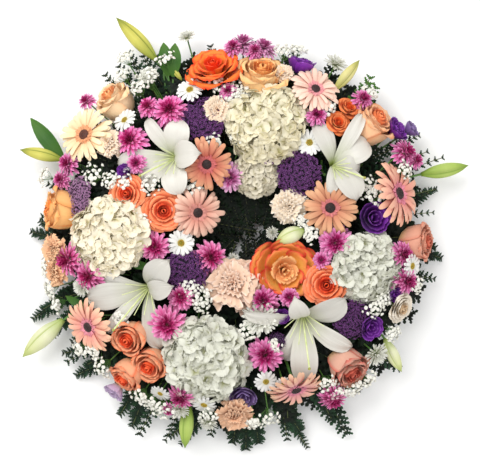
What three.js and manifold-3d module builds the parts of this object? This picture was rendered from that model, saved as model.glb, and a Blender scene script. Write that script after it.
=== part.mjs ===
// Funeral wreath: flowers, buds and fern set in a ring of floral foam on a plastic back tray.
// It lies on its back: the tray rests on z = 0 and +Z comes out of the flower face.
// Millimetres. The origin is the middle of the ring; a bearing is counted from +X towards +Y.
import * as THREE from 'three';
import { mergeVertices } from 'three/addons/utils/BufferGeometryUtils.js';
import Module from 'manifold-3d';

const wasm = await Module();
wasm.setup();

// ---------------------------------------------------------------- driving dimensions

const GAP = 0.35; // clearance between neighbouring pieces
const SLIVER = 0.02; // edges shorter than this are closed up after a cut

const TRAY = { inner: 165, outer: 255, wall: 2.4, rim: 11 };
const FOAM = { inner: 168, outer: 252, bottom: 2.8, top: 50, corner: 10, segments: 36 };
// The circle in the foam where the stem ends stand. spread, most: how far a stem's end moves out or
// in for each mm that its bloom does, and at most; fork, between: the height where a spray's first
// branch leaves its stem, and how much lower the next one does; rise: how far they go straight up.
const CORE = {
  radius: 210, spread: 0.12, most: 18, depth: 20, fork: 53, between: 0.7, rise: 22,
};

// The blooms stand on a cushion: an ellipse of this half-width and height round a mid circle, used
// up to a share of its half-width. A bloom at the cushion's outer or inner edge leans so many degrees.
const CUSHION = {
  mid: 225, halfWidth: 190, share: 0.93, base: 30, rise: 92, leanOut: 72, leanIn: 30,
};

// Stem radii, and how they are drawn. bend: the length of a curve's handles in shares of its span;
// sunkBloom, sunkBud: how far a stem ends inside its bloom (in bloom radii) or bud.
const STEM = {
  thick: 3.2, medium: 2.4, thin: 1.6, sides: 5, steps: 2, bend: 0.42, sunkBloom: 0.14, sunkBud: 6,
};
// base: a leaf's width where it leaves the stem; belly: how far along it is widest.
const LEAF = { thickness: 1.4, base: 0.08, belly: 0.45 };

// Fern fronds leave the side of the foam at this radius and height. bare: the part of a frond's
// length that is stalk; stipeEnd: how far along the round stalk runs; taper: how fast the teeth
// shorten; notch: their depth; root, point: where a tooth starts and is longest.
const FERN = {
  footRadius: 241, footHeight: 20, bare: 0.3, stipeEnd: 0.36, stipe: 1.8,
  teeth: 4, taper: 0.8, notch: 0.6, root: 0.01, point: 0.19,
};

// How each kind of bloom is made. profile: [height, radius] in bloom radii, from the calyx up to
// the crown; the last step before the crown is the ring that gives the bloom's size and heading.
const KINDS = {
  lily: {
    profile: [[-0.95, 0], [-0.35, 0.26], [-0.12, 0.6], [-0.02, 1], [0.03, 1],
      [0.06, 0.66], [-0.14, 0.3], [-0.3, 0]],
    segments: 18, petals: 6, notch: [0, 0, 0.3, 0.5, 0.5, 0.3, 0.06, 0], lift: 22, stem: STEM.thick,
  },
  gerbera: {
    profile: [[-0.4, 0], [-0.02, 0.98], [0.07, 1], [-0.01, 0.62], [0.05, 0.3], [0.07, 0]],
    segments: 12, lift: 12, stem: STEM.thick,
  },
  rose: {
    profile: [[-0.9, 0], [-0.6, 0.76], [-0.05, 1], [0.16, 0.72], [0.24, 0.3], [0.2, 0]],
    segments: 10, lift: 6, stem: STEM.thick,
  },
  carnation: {
    profile: [[-1.1, 0], [-0.3, 0.5], [-0.05, 1], [0.14, 0.84], [0.26, 0.3], [0.22, 0]],
    segments: 9, lift: 6, stem: STEM.medium,
  },
  mum: {
    profile: [[-0.5, 0], [-0.1, 1], [0.12, 0.84], [0.2, 0.3], [0.22, 0]],
    segments: 8, lift: 2, stem: STEM.thin,
  },
  daisy: {
    profile: [[-0.4, 0], [-0.02, 1], [0.07, 0.98], [0.06, 0.3], [0.12, 0]],
    segments: 8, lift: 2, stem: STEM.thin,
  },
  lisianthus: {
    profile: [[-0.95, 0], [-0.6, 0.5], [0, 0.9], [0.3, 1], [0.26, 0.86], [0.02, 0.3], [-0.05, 0]],
    segments: 9, lift: 0, stem: STEM.medium,
  },
  trachelium: {
    profile: [[-0.8, 0], [-0.3, 0.66], [-0.08, 1], [0.1, 0.86], [0.2, 0.3], [0.18, 0]],
    segments: 9, lift: -2, stem: STEM.medium,
  },
  hydrangea: {
    profile: [[-0.75, 0], [-0.5, 0.8], [-0.15, 1], [0.14, 0.72], [0.27, 0.3], [0.3, 0]],
    segments: 12, lift: -8, stem: STEM.thick,
  },
  gypsophila: {
    profile: [[-0.6, 0], [-0.3, 0.7], [0.1, 0.9], [0.42, 0.3], [0.5, 0]],
    segments: 8, lift: 0, stem: STEM.thin,
  },
};

// ---------------------------------------------------------------- solids

const UP = new THREE.Vector3(0, 1, 0);

/** Turns a closed three.js geometry into a manifold solid. */
function solid(geometry) {
  const shape = geometry.clone();
  shape.deleteAttribute('normal');
  shape.deleteAttribute('uv');
  const merged = mergeVertices(shape, 1e-4);
  const triangles = [];
  for (let i = 0; i < merged.index.count; i += 3) {
    const [a, b, c] = [0, 1, 2].map((k) => merged.index.getX(i + k));
    if (a !== b && b !== c && c !== a) triangles.push(a, b, c);
  }
  const vertProperties = new Float32Array(merged.attributes.position.array);
  return new wasm.Manifold(new wasm.Mesh({
    numProp: 3, vertProperties, triVerts: new Uint32Array(triangles),
  }));
}

/** Turns a manifold solid back into a geometry for a mesh, without the slivers that cuts leave. */
function geometryOf(body) {
  const mesh = body.simplify(SLIVER).getMesh();
  const geometry = new THREE.BufferGeometry();
  geometry.setAttribute('position', new THREE.BufferAttribute(mesh.vertProperties, 3));
  geometry.setIndex(new THREE.BufferAttribute(mesh.triVerts, 1));
  return geometry;
}

/** True where the boxes round two solids meet. */
function near(a, b) {
  const [boxA, boxB] = [a.boundingBox(), b.boundingBox()];
  return [0, 1, 2].every((k) => boxA.min[k] < boxB.max[k] && boxB.min[k] < boxA.max[k]);
}

/** Joins a list of solids. */
function join(bodies) {
  return bodies.reduce((whole, body) => settled(whole.add(body)));
}

/** Cuts those solids of a list away that come near a body. */
function cut(body, cutters) {
  return cutters.filter((cutter) => near(body, cutter))
    .reduce((rest, cutter) => settled(rest.subtract(cutter)), body);
}

/** Works a cut or join out at once, because manifold-3d would put it off. */
function settled(body) {
  body.numTri();
  return body;
}

/** The piece of a cut solid with the greatest volume. */
function mainPiece(body) {
  const pieces = body.decompose();
  return pieces.reduce((best, piece) => (piece.volume() > best.volume() ? piece : best));
}

/** A round tube along a curve. */
function tube(curve, radius, steps = STEM.steps) {
  const section = new THREE.Shape();
  for (let i = 0; i <= STEM.sides; i += 1) {
    const angle = (i / STEM.sides) * 2 * Math.PI;
    const point = [radius * Math.cos(angle), radius * Math.sin(angle)];
    if (i === 0) section.moveTo(...point);
    else if (i < STEM.sides) section.lineTo(...point);
  }
  section.closePath();
  return solid(new THREE.ExtrudeGeometry(section, { steps, extrudePath: curve }));
}

/** A flat plate standing on a start point, pointing at a tip, its face as level as it can be. */
function plate(shape, thickness, start, tip) {
  const geometry = new THREE.ExtrudeGeometry(shape, { depth: thickness, bevelEnabled: false });
  geometry.translate(0, 0, -thickness / 2);
  const along = tip.clone().sub(start).normalize();
  const across = new THREE.Vector3(-along.y, along.x, 0).normalize();
  const face = along.clone().cross(across);
  geometry.applyMatrix4(new THREE.Matrix4().makeBasis(along, across, face).setPosition(start));
  return solid(geometry);
}

// ---------------------------------------------------------------- blooms, buds, leaves, fronds

const radians = THREE.MathUtils.degToRad;

/** Where a bloom stands on the cushion and which way it looks. */
function placeOf(bloom, kind) {
  const [x, y] = bloom.at;
  const outward = (Math.hypot(x, y) - CUSHION.mid) / CUSHION.halfWidth;
  const t = THREE.MathUtils.clamp(outward, -CUSHION.share, CUSHION.share);
  const z = CUSHION.base + CUSHION.rise * Math.sqrt(1 - t * t) + kind.lift + (bloom.up ?? 0);
  const lean = radians(bloom.lean ?? Math.abs(t) * (t > 0 ? CUSHION.leanOut : CUSHION.leanIn));
  const outwardTurn = Math.atan2(y, x) + (t > 0 ? 0 : Math.PI);
  const turn = bloom.turn === undefined ? outwardTurn : radians(bloom.turn);
  const axis = new THREE.Vector3(
    Math.sin(lean) * Math.cos(turn),
    Math.sin(lean) * Math.sin(turn),
    Math.cos(lean),
  );
  return { centre: new THREE.Vector3(x, y, z), axis };
}

/** A turned profile, from axis to axis, moved outward by a clearance all along. */
function widened(points, grow) {
  const mirrored = (point) => new THREE.Vector2(-point.x, point.y);
  const path = [mirrored(points[1]), ...points, mirrored(points.at(-2))];
  return points.map((point, i) => {
    const before = point.clone().sub(path[i]).normalize();
    const after = path[i + 2].clone().sub(point).normalize();
    const normal = new THREE.Vector2(before.y + after.y, -before.x - after.x).normalize();
    const stretch = grow / (normal.x * before.y - normal.y * before.x);
    return point.clone().addScaledVector(normal, stretch);
  });
}

/** One bloom as a closed turned body, with petals notched into its rim where its kind has them. */
function bloomSolid(bloom, kind, grow) {
  const points = kind.profile.map(([height, radius]) => (
    new THREE.Vector2(radius, height).multiplyScalar(bloom.r)));
  const geometry = new THREE.LatheGeometry(widened(points, grow), kind.segments);
  const position = geometry.attributes.position;
  const rings = kind.profile.length;
  for (let i = 0; i < position.count && kind.petals; i += 1) {
    const angle = Math.atan2(position.getZ(i), position.getX(i)) * kind.petals;
    const shrink = 1 - kind.notch[i % rings] * (0.5 - 0.5 * Math.cos(angle));
    position.setXYZ(i, position.getX(i) * shrink, position.getY(i), position.getZ(i) * shrink);
  }
  const { centre, axis } = placeOf(bloom, kind);
  geometry.rotateY(radians(bloom.roll ?? 0));
  geometry.applyQuaternion(new THREE.Quaternion().setFromUnitVectors(UP, axis));
  geometry.translate(centre.x, centre.y, centre.z);
  return solid(geometry);
}

/** The foot of a spray in the foam: near the core circle, a little out or in as its bloom is. */
function footOf(spray) {
  const [x, y] = spray.blooms?.[0].at ?? spray.buds[0].foot;
  const bearing = spray.from === undefined ? Math.atan2(y, x) : radians(spray.from);
  const outward = (Math.hypot(x, y) - CORE.radius) * CORE.spread;
  const radius = CORE.radius + THREE.MathUtils.clamp(outward, -CORE.most, CORE.most);
  return new THREE.Vector3(radius * Math.cos(bearing), radius * Math.sin(bearing), CORE.depth);
}

/** A stem curve that starts straight up and meets its bloom along the bloom's own axis. */
function stemCurve(start, top, axis, rise) {
  const reach = STEM.bend * start.distanceTo(top);
  return new THREE.CubicBezierCurve3(start, start.clone().setZ(start.z + Math.min(rise, reach)),
    top.clone().addScaledVector(axis, -reach), top);
}

/** The curve of one stem of a spray: from its end in the foam, or from where it branches off. */
function stemOf(spray, order, top, axis) {
  const foot = footOf(spray);
  return forks(spray)
    ? stemCurve(foot.setZ(CORE.fork - order * CORE.between), top, axis, CORE.rise)
    : stemCurve(foot, top, axis, CORE.fork - CORE.depth);
}

/** The same curve, started a little earlier on the line of its first step. */
function lengthened(curve, extra) {
  const back = curve.v0.clone().sub(curve.getPointAt(1 / STEM.steps)).setLength(extra);
  curve.v0.add(back);
  return curve;
}

/** True where a spray carries more than one head. */
function forks(spray) {
  return (spray.blooms ?? []).length + (spray.buds ?? []).length > 1;
}

// A lily bud: height in bud lengths and radius in half-widths.
const BUD_PROFILE = [[0, 0], [0.08, 0.45], [0.35, 0.95], [0.62, 1], [0.88, 0.6], [0.97, 0.25], [1, 0]];
const BUD_SIDES = 8;

/** A lily bud: a long closed body from its foot to its tip. */
function budSolid(bud, grow) {
  const foot = new THREE.Vector3(...bud.foot);
  const along = new THREE.Vector3(...bud.tip).sub(foot);
  const length = along.length();
  const points = BUD_PROFILE.map(([height, radius]) => (
    new THREE.Vector2(radius * bud.width / 2, height * length)));
  const geometry = new THREE.LatheGeometry(widened(points, grow), BUD_SIDES);
  geometry.applyQuaternion(new THREE.Quaternion().setFromUnitVectors(UP, along.normalize()));
  geometry.translate(foot.x, foot.y, foot.z);
  return solid(geometry);
}

/** A lance-shaped leaf outline along +X. */
function leafShape(length, width) {
  const shape = new THREE.Shape();
  shape.moveTo(0, -width * LEAF.base);
  shape.quadraticCurveTo(length * LEAF.belly, -width, length, 0);
  shape.quadraticCurveTo(length * LEAF.belly, width, 0, width * LEAF.base);
  shape.closePath();
  return shape;
}

/** A toothed, three-cornered fern frond outline along +X. */
function frondShape(length, width) {
  const shape = new THREE.Shape();
  const edge = [];
  for (let i = 0; i < FERN.teeth; i += 1) {
    const start = i / FERN.teeth;
    const half = (width / 2) * (1 - start) ** FERN.taper;
    edge.push([length * (start + FERN.root), half * (1 - FERN.notch)]);
    edge.push([length * (start + FERN.point), half]);
  }
  shape.moveTo(...edge[0]);
  edge.slice(1).forEach((point) => shape.lineTo(...point));
  shape.lineTo(length, 0);
  edge.reverse().forEach(([x, y]) => shape.lineTo(x, -y));
  shape.closePath();
  return shape;
}

/** The heads of a spray (all that isn't stem) and its stems, grown by a clearance. */
function sprayBodies(spray, grow) {
  if (spray.fronds) return fernBodies(spray, grow);
  const heads = [];
  const stems = [];
  const radius = stemRadius(spray) + grow;
  if (forks(spray)) {
    const foot = footOf(spray);
    const fork = foot.clone().setZ(CORE.fork + stemRadius(spray));
    stems.push(tube(new THREE.LineCurve3(foot.setZ(foot.z - grow), fork), radius, 1));
  }
  (spray.blooms ?? []).forEach((bloom, order) => {
    const kind = KINDS[bloom.kind];
    const { centre, axis } = placeOf(bloom, kind);
    const calyx = kind.profile[0][0] + STEM.sunkBloom;
    const top = centre.clone().addScaledVector(axis, bloom.r * calyx);
    const curve = lengthened(stemOf(spray, order, top, axis), grow);
    heads.push(bloomSolid(bloom, kind, grow));
    stems.push(tube(curve, radius));
  });
  (spray.buds ?? []).forEach((bud, index) => {
    const order = index + (spray.blooms ?? []).length;
    const start = new THREE.Vector3(...bud.foot);
    const axis = new THREE.Vector3(...bud.tip).sub(start).normalize();
    const top = start.clone().addScaledVector(axis, STEM.sunkBud);
    const curve = lengthened(stemOf(spray, order, top, axis), grow);
    heads.push(budSolid(bud, grow));
    stems.push(tube(curve, radius));
    (bud.leaves ?? []).forEach((leaf) => heads.push(leafSolid(leaf, curve.getPoint(leaf.on), grow)));
  });
  return { heads, stems };
}

/** The radius of a spray's stems. */
function stemRadius(spray) {
  if (spray.fronds) return FERN.stipe;
  return spray.blooms ? KINDS[spray.blooms[0].kind].stem : STEM.medium;
}

/** A leaf that grows from a point on a stem. */
function leafSolid(leaf, start, grow) {
  const tip = new THREE.Vector3(...leaf.tip);
  const shape = leafShape(start.distanceTo(tip) + grow, leaf.width / 2 + grow);
  return plate(shape, LEAF.thickness + 2 * grow, start, tip);
}

/** The fronds of one fern bunch: they fan out of one point in the side of the foam. */
function fernBodies(bunch, grow) {
  const heads = [];
  const stems = [];
  const bearing = radians(bunch.from);
  const foot = new THREE.Vector3(Math.cos(bearing), Math.sin(bearing), 0);
  foot.multiplyScalar(FERN.footRadius).setZ(FERN.footHeight);
  bunch.fronds.forEach((frond) => {
    const tip = new THREE.Vector3(...frond.tip);
    const start = foot.clone().lerp(tip, FERN.bare);
    const shape = frondShape(start.distanceTo(tip) + grow, frond.width + 2 * grow);
    heads.push(plate(shape, LEAF.thickness + 2 * grow, start, tip));
    const back = foot.clone().sub(tip).setLength(grow).add(foot);
    stems.push(tube(new THREE.LineCurve3(back, foot.clone().lerp(tip, FERN.stipeEnd)),
      FERN.stipe + grow, 1));
  });
  return { heads, stems };
}

// ---------------------------------------------------------------- the flowers of this wreath

const bloom = (kind, x, y, r, more = {}) => ({ kind, at: [x, y], r, ...more });

// In order of how far forward they stand: a bloom further down the list gives way to those above.
const SPRAYS = [
  {
    name: 'lily_upper_left', colour: 0xf6f4e6, from: 128,
    blooms: [bloom('lily', -132, 162, 88, { lean: 16, turn: 175, roll: 4 })],
    buds: [{
      foot: [-176, 362, 62], tip: [-258, 448, 74], width: 30,
      leaves: [{ on: 0.8, tip: [-154, 398, 58], width: 20 }],
    }],
  },
  {
    name: 'lily_upper_right', colour: 0xf6f4e6, from: 40,
    blooms: [bloom('lily', 178, 144, 86, { lean: 18, turn: 50, roll: 22 })],
    buds: [{ foot: [184, 298, 96], tip: [233, 356, 112], width: 20 }],
  },
  {
    name: 'lily_lower_right', colour: 0xf6f4e6, from: 302,
    blooms: [bloom('lily', 118, -148, 88, { lean: 30, turn: 275, roll: 0 })],
    buds: [{ foot: [288, -204, 78], tip: [322, -272, 78], width: 28 }],
  },
  {
    name: 'lily_lower_left', colour: 0xf6f4e6, from: 212,
    blooms: [bloom('lily', -186, -96, 92, { lean: 24, turn: 215, roll: 10 })],
    buds: [{ foot: [-368, -168, 56], tip: [-451, -244, 58], width: 34 }],
  },
  { name: 'lily_bud_left', colour: 0xa8c840, buds: [{
    foot: [-370, 160, 60], tip: [-456, 180, 62], width: 26,
    leaves: [{ on: 0.88, tip: [-436, 244, 48], width: 20 }],
  }] },
  { name: 'lily_bud_right', colour: 0xc8e08a, buds: [{
    foot: [364, 130, 62], tip: [461, 148, 62], width: 32,
  }] },
  { name: 'lily_bud_bottom', colour: 0xa8c840, buds: [{
    foot: [-110, -338, 74], tip: [-118, -428, 70], width: 32,
  }] },
  { name: 'lily_bud_inner', colour: 0xdfe8c8, from: 4, buds: [{
    foot: [123, 16, 106], tip: [65, -8, 112], width: 34,
  }] },
  { name: 'gerbera_pale_left', colour: 0xfdebb8, blooms: [bloom('gerbera', -318, 207, 54, { lean: 30 })] },
  { name: 'gerbera_coral_upper', colour: 0xf0a070, from: 109, blooms: [
    bloom('gerbera', -72, 146, 48, { up: 6 }),
  ] },
  { name: 'gerbera_cream_inner', colour: 0xfbd9b0, blooms: [bloom('gerbera', -91, 51, 50)] },
  { name: 'gerbera_apricot_right', colour: 0xe9b083, from: 22, blooms: [bloom('gerbera', 173, 60, 52)] },
  { name: 'gerbera_salmon_right', colour: 0xf2a084, blooms: [bloom('gerbera', 308, 88, 60, { lean: 62 })] },
  { name: 'gerbera_pale_top', colour: 0xfbd3bc, blooms: [bloom('gerbera', 144, 296, 46, { lean: 30 })] },
  { name: 'gerbera_peach_bottom', colour: 0xfbc49c, blooms: [
    bloom('gerbera', 105, -300, 52, { lean: 56 }),
  ] },
  { name: 'gerbera_peach_left', colour: 0xfbc49c, blooms: [bloom('gerbera', -308, -177, 52, { lean: 45 })] },
  { name: 'rose_bicolour_inner', colour: 0xfb8a2c, from: 326, blooms: [
    bloom('rose', 84, -66, 58, { lean: 14, turn: 325 }),
  ] },
  { name: 'rose_bicolour_top', colour: 0xf0501e, blooms: [bloom('rose', -60, 346, 54)] },
  { name: 'rose_peach_top', colour: 0xf9a96a, blooms: [bloom('rose', 38, 332, 42)] },
  { name: 'rose_orange_right', colour: 0xf5814a, blooms: [bloom('rose', 268, 238, 42)] },
  { name: 'rose_spray_upper_right', colour: 0xf9a96a, from: 49, blooms: [
    bloom('rose', 190, 231, 24), bloom('rose', 213, 263, 23),
  ] },
  { name: 'rose_salmon_edge', colour: 0xf9a96a, blooms: [bloom('rose', 364, -8, 38)] },
  { name: 'rose_salmon_lower', colour: 0xf6b08c, blooms: [bloom('rose', 216, -268, 42)] },
  { name: 'rose_garden_orange', colour: 0xf07a45, blooms: [bloom('rose', 166, -94, 42)] },
  { name: 'rose_spray_lower_left', colour: 0xf0a068, from: 229, blooms: [
    bloom('rose', -230, -202, 38), bloom('rose', -188, -256, 37), bloom('rose', -240, -282, 37),
  ] },
  { name: 'rose_spray_left', colour: 0xf5814a, from: 163, blooms: [
    bloom('rose', -158, 54, 40), bloom('rose', -232, 88, 36),
  ] },
  { name: 'rose_edge_left', colour: 0xf9a96a, blooms: [bloom('rose', -384, 58, 42)] },
  { name: 'rose_upper_left', colour: 0xf9a96a, blooms: [bloom('rose', -268, 288, 38)] },
  { name: 'rose_cream_right', colour: 0xf7ecd8, blooms: [bloom('rose', 320, -142, 30)] },
  { name: 'carnation_inner', colour: 0xedb89a, from: 263, blooms: [bloom('carnation', -20, -92, 46)] },
  { name: 'carnation_cream_right', colour: 0xf9e2c2, from: 30, blooms: [bloom('carnation', 90, 62, 30)] },
  { name: 'carnation_spray_left', colour: 0xeaa982, from: 187, blooms: [
    bloom('carnation', -386, -24, 24), bloom('carnation', -384, -70, 23),
  ] },
  { name: 'mum_spray_top', colour: 0xb84fb0, from: 86, blooms: [
    bloom('mum', 0, 392, 28), bloom('mum', 42, 384, 26), bloom('mum', -26, 122, 30),
  ] },
  { name: 'mum_spray_upper_left', colour: 0xb84fb0, from: 134, blooms: [
    bloom('mum', -146, 254, 34), bloom('mum', -190, 262, 22), bloom('mum', -224, 194, 32),
  ] },
  { name: 'mum_spray_left', colour: 0xb84fb0, from: 200, blooms: [
    bloom('mum', -350, -44, 32), bloom('mum', -306, -76, 31), bloom('mum', -176, -18, 30),
    bloom('mum', -66, -40, 34), bloom('mum', -124, -118, 27), bloom('mum', -150, -172, 36),
  ] },
  { name: 'mum_spray_bottom', colour: 0xb8328c, from: 268, blooms: [
    bloom('mum', 40, -126, 30), bloom('mum', 44, -232, 34), bloom('mum', 182, -322, 28),
    bloom('mum', -124, -316, 28),
  ] },
  { name: 'mum_spray_right', colour: 0xb8328c, from: 11, blooms: [
    bloom('mum', 184, -10, 34), bloom('mum', 318, -32, 26), bloom('mum', 326, -86, 28),
    bloom('mum', 326, 172, 28),
  ] },
  { name: 'daisy_spray_upper', colour: 0xf8f6ee, from: 108, blooms: [
    bloom('daisy', -106, 296, 28), bloom('daisy', -237, 236, 26), bloom('daisy', 132, 190, 26),
  ] },
  { name: 'daisy_spray_lower', colour: 0xf8f6ee, from: 254, blooms: [
    bloom('daisy', 46, -286, 24), bloom('daisy', -166, -312, 22), bloom('daisy', -78, -334, 26),
    bloom('daisy', -124, -10, 28), bloom('daisy', 36, -160, 30),
  ] },
  { name: 'lisianthus_top', colour: 0x46148a, blooms: [bloom('lisianthus', 117, 352, 30)] },
  { name: 'lisianthus_right', colour: 0x46148a, from: 22, blooms: [
    bloom('lisianthus', 262, 40, 32), bloom('lisianthus', 312, 220, 26),
  ] },
  { name: 'lisianthus_lower', colour: 0x4b1a8c, from: 316, blooms: [
    bloom('lisianthus', 256, -178, 26), bloom('lisianthus', 0, -318, 28),
  ] },
  { name: 'trachelium_upper_right', colour: 0x4a2a80, blooms: [bloom('trachelium', 112, 128, 48)] },
  { name: 'trachelium_upper_left', colour: 0x4a2a80, blooms: [bloom('trachelium', -80, 236, 48)] },
  { name: 'trachelium_lower_left', colour: 0x4a2a80, blooms: [bloom('trachelium', -116, -70, 50)] },
  { name: 'trachelium_lower_right', colour: 0x5c3a8f, blooms: [bloom('trachelium', 218, -162, 42)] },
  { name: 'trachelium_left', colour: 0x8a68b0, blooms: [bloom('trachelium', -332, 84, 42)] },
  { name: 'hydrangea_inner', colour: 0xf2f0d8, from: 76, blooms: [bloom('hydrangea', 26, 128, 46)] },
  { name: 'hydrangea_top', colour: 0xf2f0d8, blooms: [bloom('hydrangea', 46, 226, 80)] },
  { name: 'hydrangea_right', colour: 0xeef2e0, blooms: [bloom('hydrangea', 246, -60, 70)] },
  { name: 'hydrangea_bottom', colour: 0xf2f0d8, blooms: [bloom('hydrangea', -74, -242, 84)] },
  { name: 'hydrangea_left', colour: 0xf2f0d8, blooms: [bloom('hydrangea', -266, 4, 80)] },
  { name: 'gypsophila_upper', colour: 0xf8f8f4, from: 120, blooms: [
    bloom('gypsophila', -192, 318, 30), bloom('gypsophila', -16, 300, 24),
  ] },
  { name: 'gypsophila_lower', colour: 0xf8f8f4, from: 246, blooms: [
    bloom('gypsophila', -168, -344, 30), bloom('gypsophila', -84, -128, 30),
  ] },
  { name: 'fern_left', colour: 0x2c4a22, from: 190, fronds: [
    { tip: [-446, 12, 8], width: 90 }, { tip: [-442, -172, 8], width: 90 },
  ] },
  { name: 'fern_lower_left', colour: 0x2c4a22, from: 232, fronds: [
    { tip: [-352, -292, 8], width: 94 }, { tip: [-232, -404, 8], width: 94 },
  ] },
  { name: 'fern_bottom', colour: 0x2c4a22, from: 272, fronds: [
    { tip: [-128, -444, 8], width: 90 }, { tip: [6, -450, 8], width: 90 },
    { tip: [136, -446, 8], width: 86 },
  ] },
  { name: 'fern_right', colour: 0x2c4a22, from: 4, fronds: [
    { tip: [420, -44, 8], width: 90 }, { tip: [412, 104, 8], width: 90 },
  ] },
];

// ---------------------------------------------------------------- tray and foam

/** The plastic back tray: a shallow round channel that holds the foam. */
function traySolid() {
  const { inner, outer, wall, rim } = TRAY;
  const corners = [[inner, 0], [outer, 0], [outer, rim], [outer - wall, rim], [outer - wall, wall],
    [inner + wall, wall], [inner + wall, rim], [inner, rim], [inner, 0]];
  const points = corners.map(([radius, height]) => new THREE.Vector2(radius, height));
  return ringSolid(points);
}

/** The foam ring, before the stems are pushed in. */
function foamSolid() {
  const { inner, outer, bottom, top, corner } = FOAM;
  const points = [
    new THREE.Vector2(inner, bottom),
    new THREE.Vector2(outer, bottom),
    new THREE.Vector2(outer, top - corner),
    new THREE.Vector2(outer - corner, top),
    new THREE.Vector2(inner + corner, top),
    new THREE.Vector2(inner, top - corner),
    new THREE.Vector2(inner, bottom),
  ];
  return ringSolid(points);
}

/** A ring turned from a closed profile. */
function ringSolid(points) {
  const geometry = new THREE.LatheGeometry(points, FOAM.segments);
  geometry.rotateX(Math.PI / 2);
  return solid(geometry);
}

// ---------------------------------------------------------------- the wreath

const wreath = new THREE.Group();

function addMesh(name, body, colour, roughness) {
  const material = new THREE.MeshStandardMaterial({ color: colour, roughness, metalness: 0 });
  const mesh = new THREE.Mesh(geometryOf(body), material);
  mesh.name = name;
  wreath.add(mesh);
}

const exact = SPRAYS.map((spray) => sprayBodies(spray, 0));
const grown = SPRAYS.map((spray) => sprayBodies(spray, GAP));

addMesh('back_tray', traySolid(), 0x1f3a24, 0.5);
addMesh('foam_ring', cut(foamSolid(), grown.flatMap((part) => part.stems)), 0x2f5a33, 0.95);

/** True where the stems of one spray stay whole and those of the other give way: thin ones stay. */
function stemsStay(index, other) {
  const difference = stemRadius(SPRAYS[index]) - stemRadius(SPRAYS[other]);
  return difference < 0 || (difference === 0 && index < other);
}

SPRAYS.forEach((spray, index) => {
  const otherStems = grown.filter((_, i) => i !== index).flatMap((part) => part.stems);
  const firmer = grown.filter((_, i) => i !== index && stemsStay(i, index));
  const inFront = grown.slice(0, index).flatMap((part) => part.heads);
  const heads = exact[index].heads.map((head) => cut(head, [...otherStems, ...inFront]));
  const stems = exact[index].stems.map((stem) => cut(stem, firmer.flatMap((part) => part.stems)));
  addMesh(spray.name, mainPiece(join([...stems, ...heads])), spray.colour, 0.7);
});

export default wreath;
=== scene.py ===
"""Funeral wreath: fresh flowers pushed into a ring of floral foam on a plastic back tray.

The CAD frame gives the place, heading and size of the main blooms. This script gives them their
petals, and adds small blooms and fern between them. Metres, +Z out of the flower face, +Y to the
top of the wreath."""
import math

import bpy
import numpy as np
from mathutils import Matrix, Vector


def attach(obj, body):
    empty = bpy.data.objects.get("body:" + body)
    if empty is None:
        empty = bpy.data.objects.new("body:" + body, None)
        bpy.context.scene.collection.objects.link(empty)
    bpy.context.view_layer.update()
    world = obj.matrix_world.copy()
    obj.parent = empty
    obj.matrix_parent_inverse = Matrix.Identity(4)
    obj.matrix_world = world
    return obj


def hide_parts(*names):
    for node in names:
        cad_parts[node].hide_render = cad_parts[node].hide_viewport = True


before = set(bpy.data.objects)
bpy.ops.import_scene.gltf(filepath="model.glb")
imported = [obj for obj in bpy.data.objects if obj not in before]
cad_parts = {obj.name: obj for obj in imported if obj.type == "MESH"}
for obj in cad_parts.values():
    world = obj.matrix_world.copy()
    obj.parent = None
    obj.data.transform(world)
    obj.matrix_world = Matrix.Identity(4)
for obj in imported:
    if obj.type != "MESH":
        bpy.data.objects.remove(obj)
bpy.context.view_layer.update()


# ------------------------------------------------------------------ back tray
# A shallow ring-shaped channel, injection moulded in dark green polypropylene. It holds the wet
# foam ring and is the flat back that the wreath lies or leans on. The CAD node keeps its shape.

BUMP_STRENGTH = 0.8
NOISE_SCALE = 500  # noise scale for features of one millimetre


def linear(colour):
    """An sRGB hex value as the opaque linear colour that shaders take."""
    channels = [(colour >> shift & 255) / 255 for shift in (16, 8, 0)]
    return [c / 12.92 if c <= 0.04045 else ((c + 0.055) / 1.055) ** 2.4 for c in channels] + [1.0]


def add(tree, kind, inputs=None, **settings):
    """Adds a node with its properties; each input gets a value or the output linked into it."""
    node = tree.nodes.new(kind)
    for key, value in settings.items():
        setattr(node, key, value)
    for socket, value in (inputs or {}).items():
        if isinstance(value, bpy.types.NodeSocket):
            tree.links.new(value, node.inputs[socket])
        else:
            node.inputs[socket].default_value = value
    return node


def output(tree, kind, inputs=None, **settings):
    """The first output of a new node."""
    return add(tree, kind, inputs, **settings).outputs[0]


def finish_material(name, colour, height=None, depth=0.0, **surface):
    """A material whose Principled shader gets its colour and bump height from two functions."""
    material = bpy.data.materials.new(name)
    material.use_nodes = True
    tree = material.node_tree
    tree.nodes.clear()
    shader = add(tree, "ShaderNodeBsdfPrincipled", surface)
    add(tree, "ShaderNodeOutputMaterial", {"Surface": shader.outputs["BSDF"]})
    tree.links.new(colour(tree), shader.inputs["Base Color"])
    if height is not None:
        bump = add(tree, "ShaderNodeBump", {
            "Distance": depth, "Strength": BUMP_STRENGTH, "Height": height(tree)})
        tree.links.new(bump.outputs["Normal"], shader.inputs["Normal"])
    return material


def grain(tree, size_mm, detail):
    """Noise with features of about size_mm, on the piece's own coordinates."""
    place = add(tree, "ShaderNodeTexCoord")
    noise = add(tree, "ShaderNodeTexNoise", {
        "Scale": NOISE_SCALE / size_mm, "Detail": detail, "Vector": place.outputs["Object"]})
    return noise.outputs["Fac"]


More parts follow.
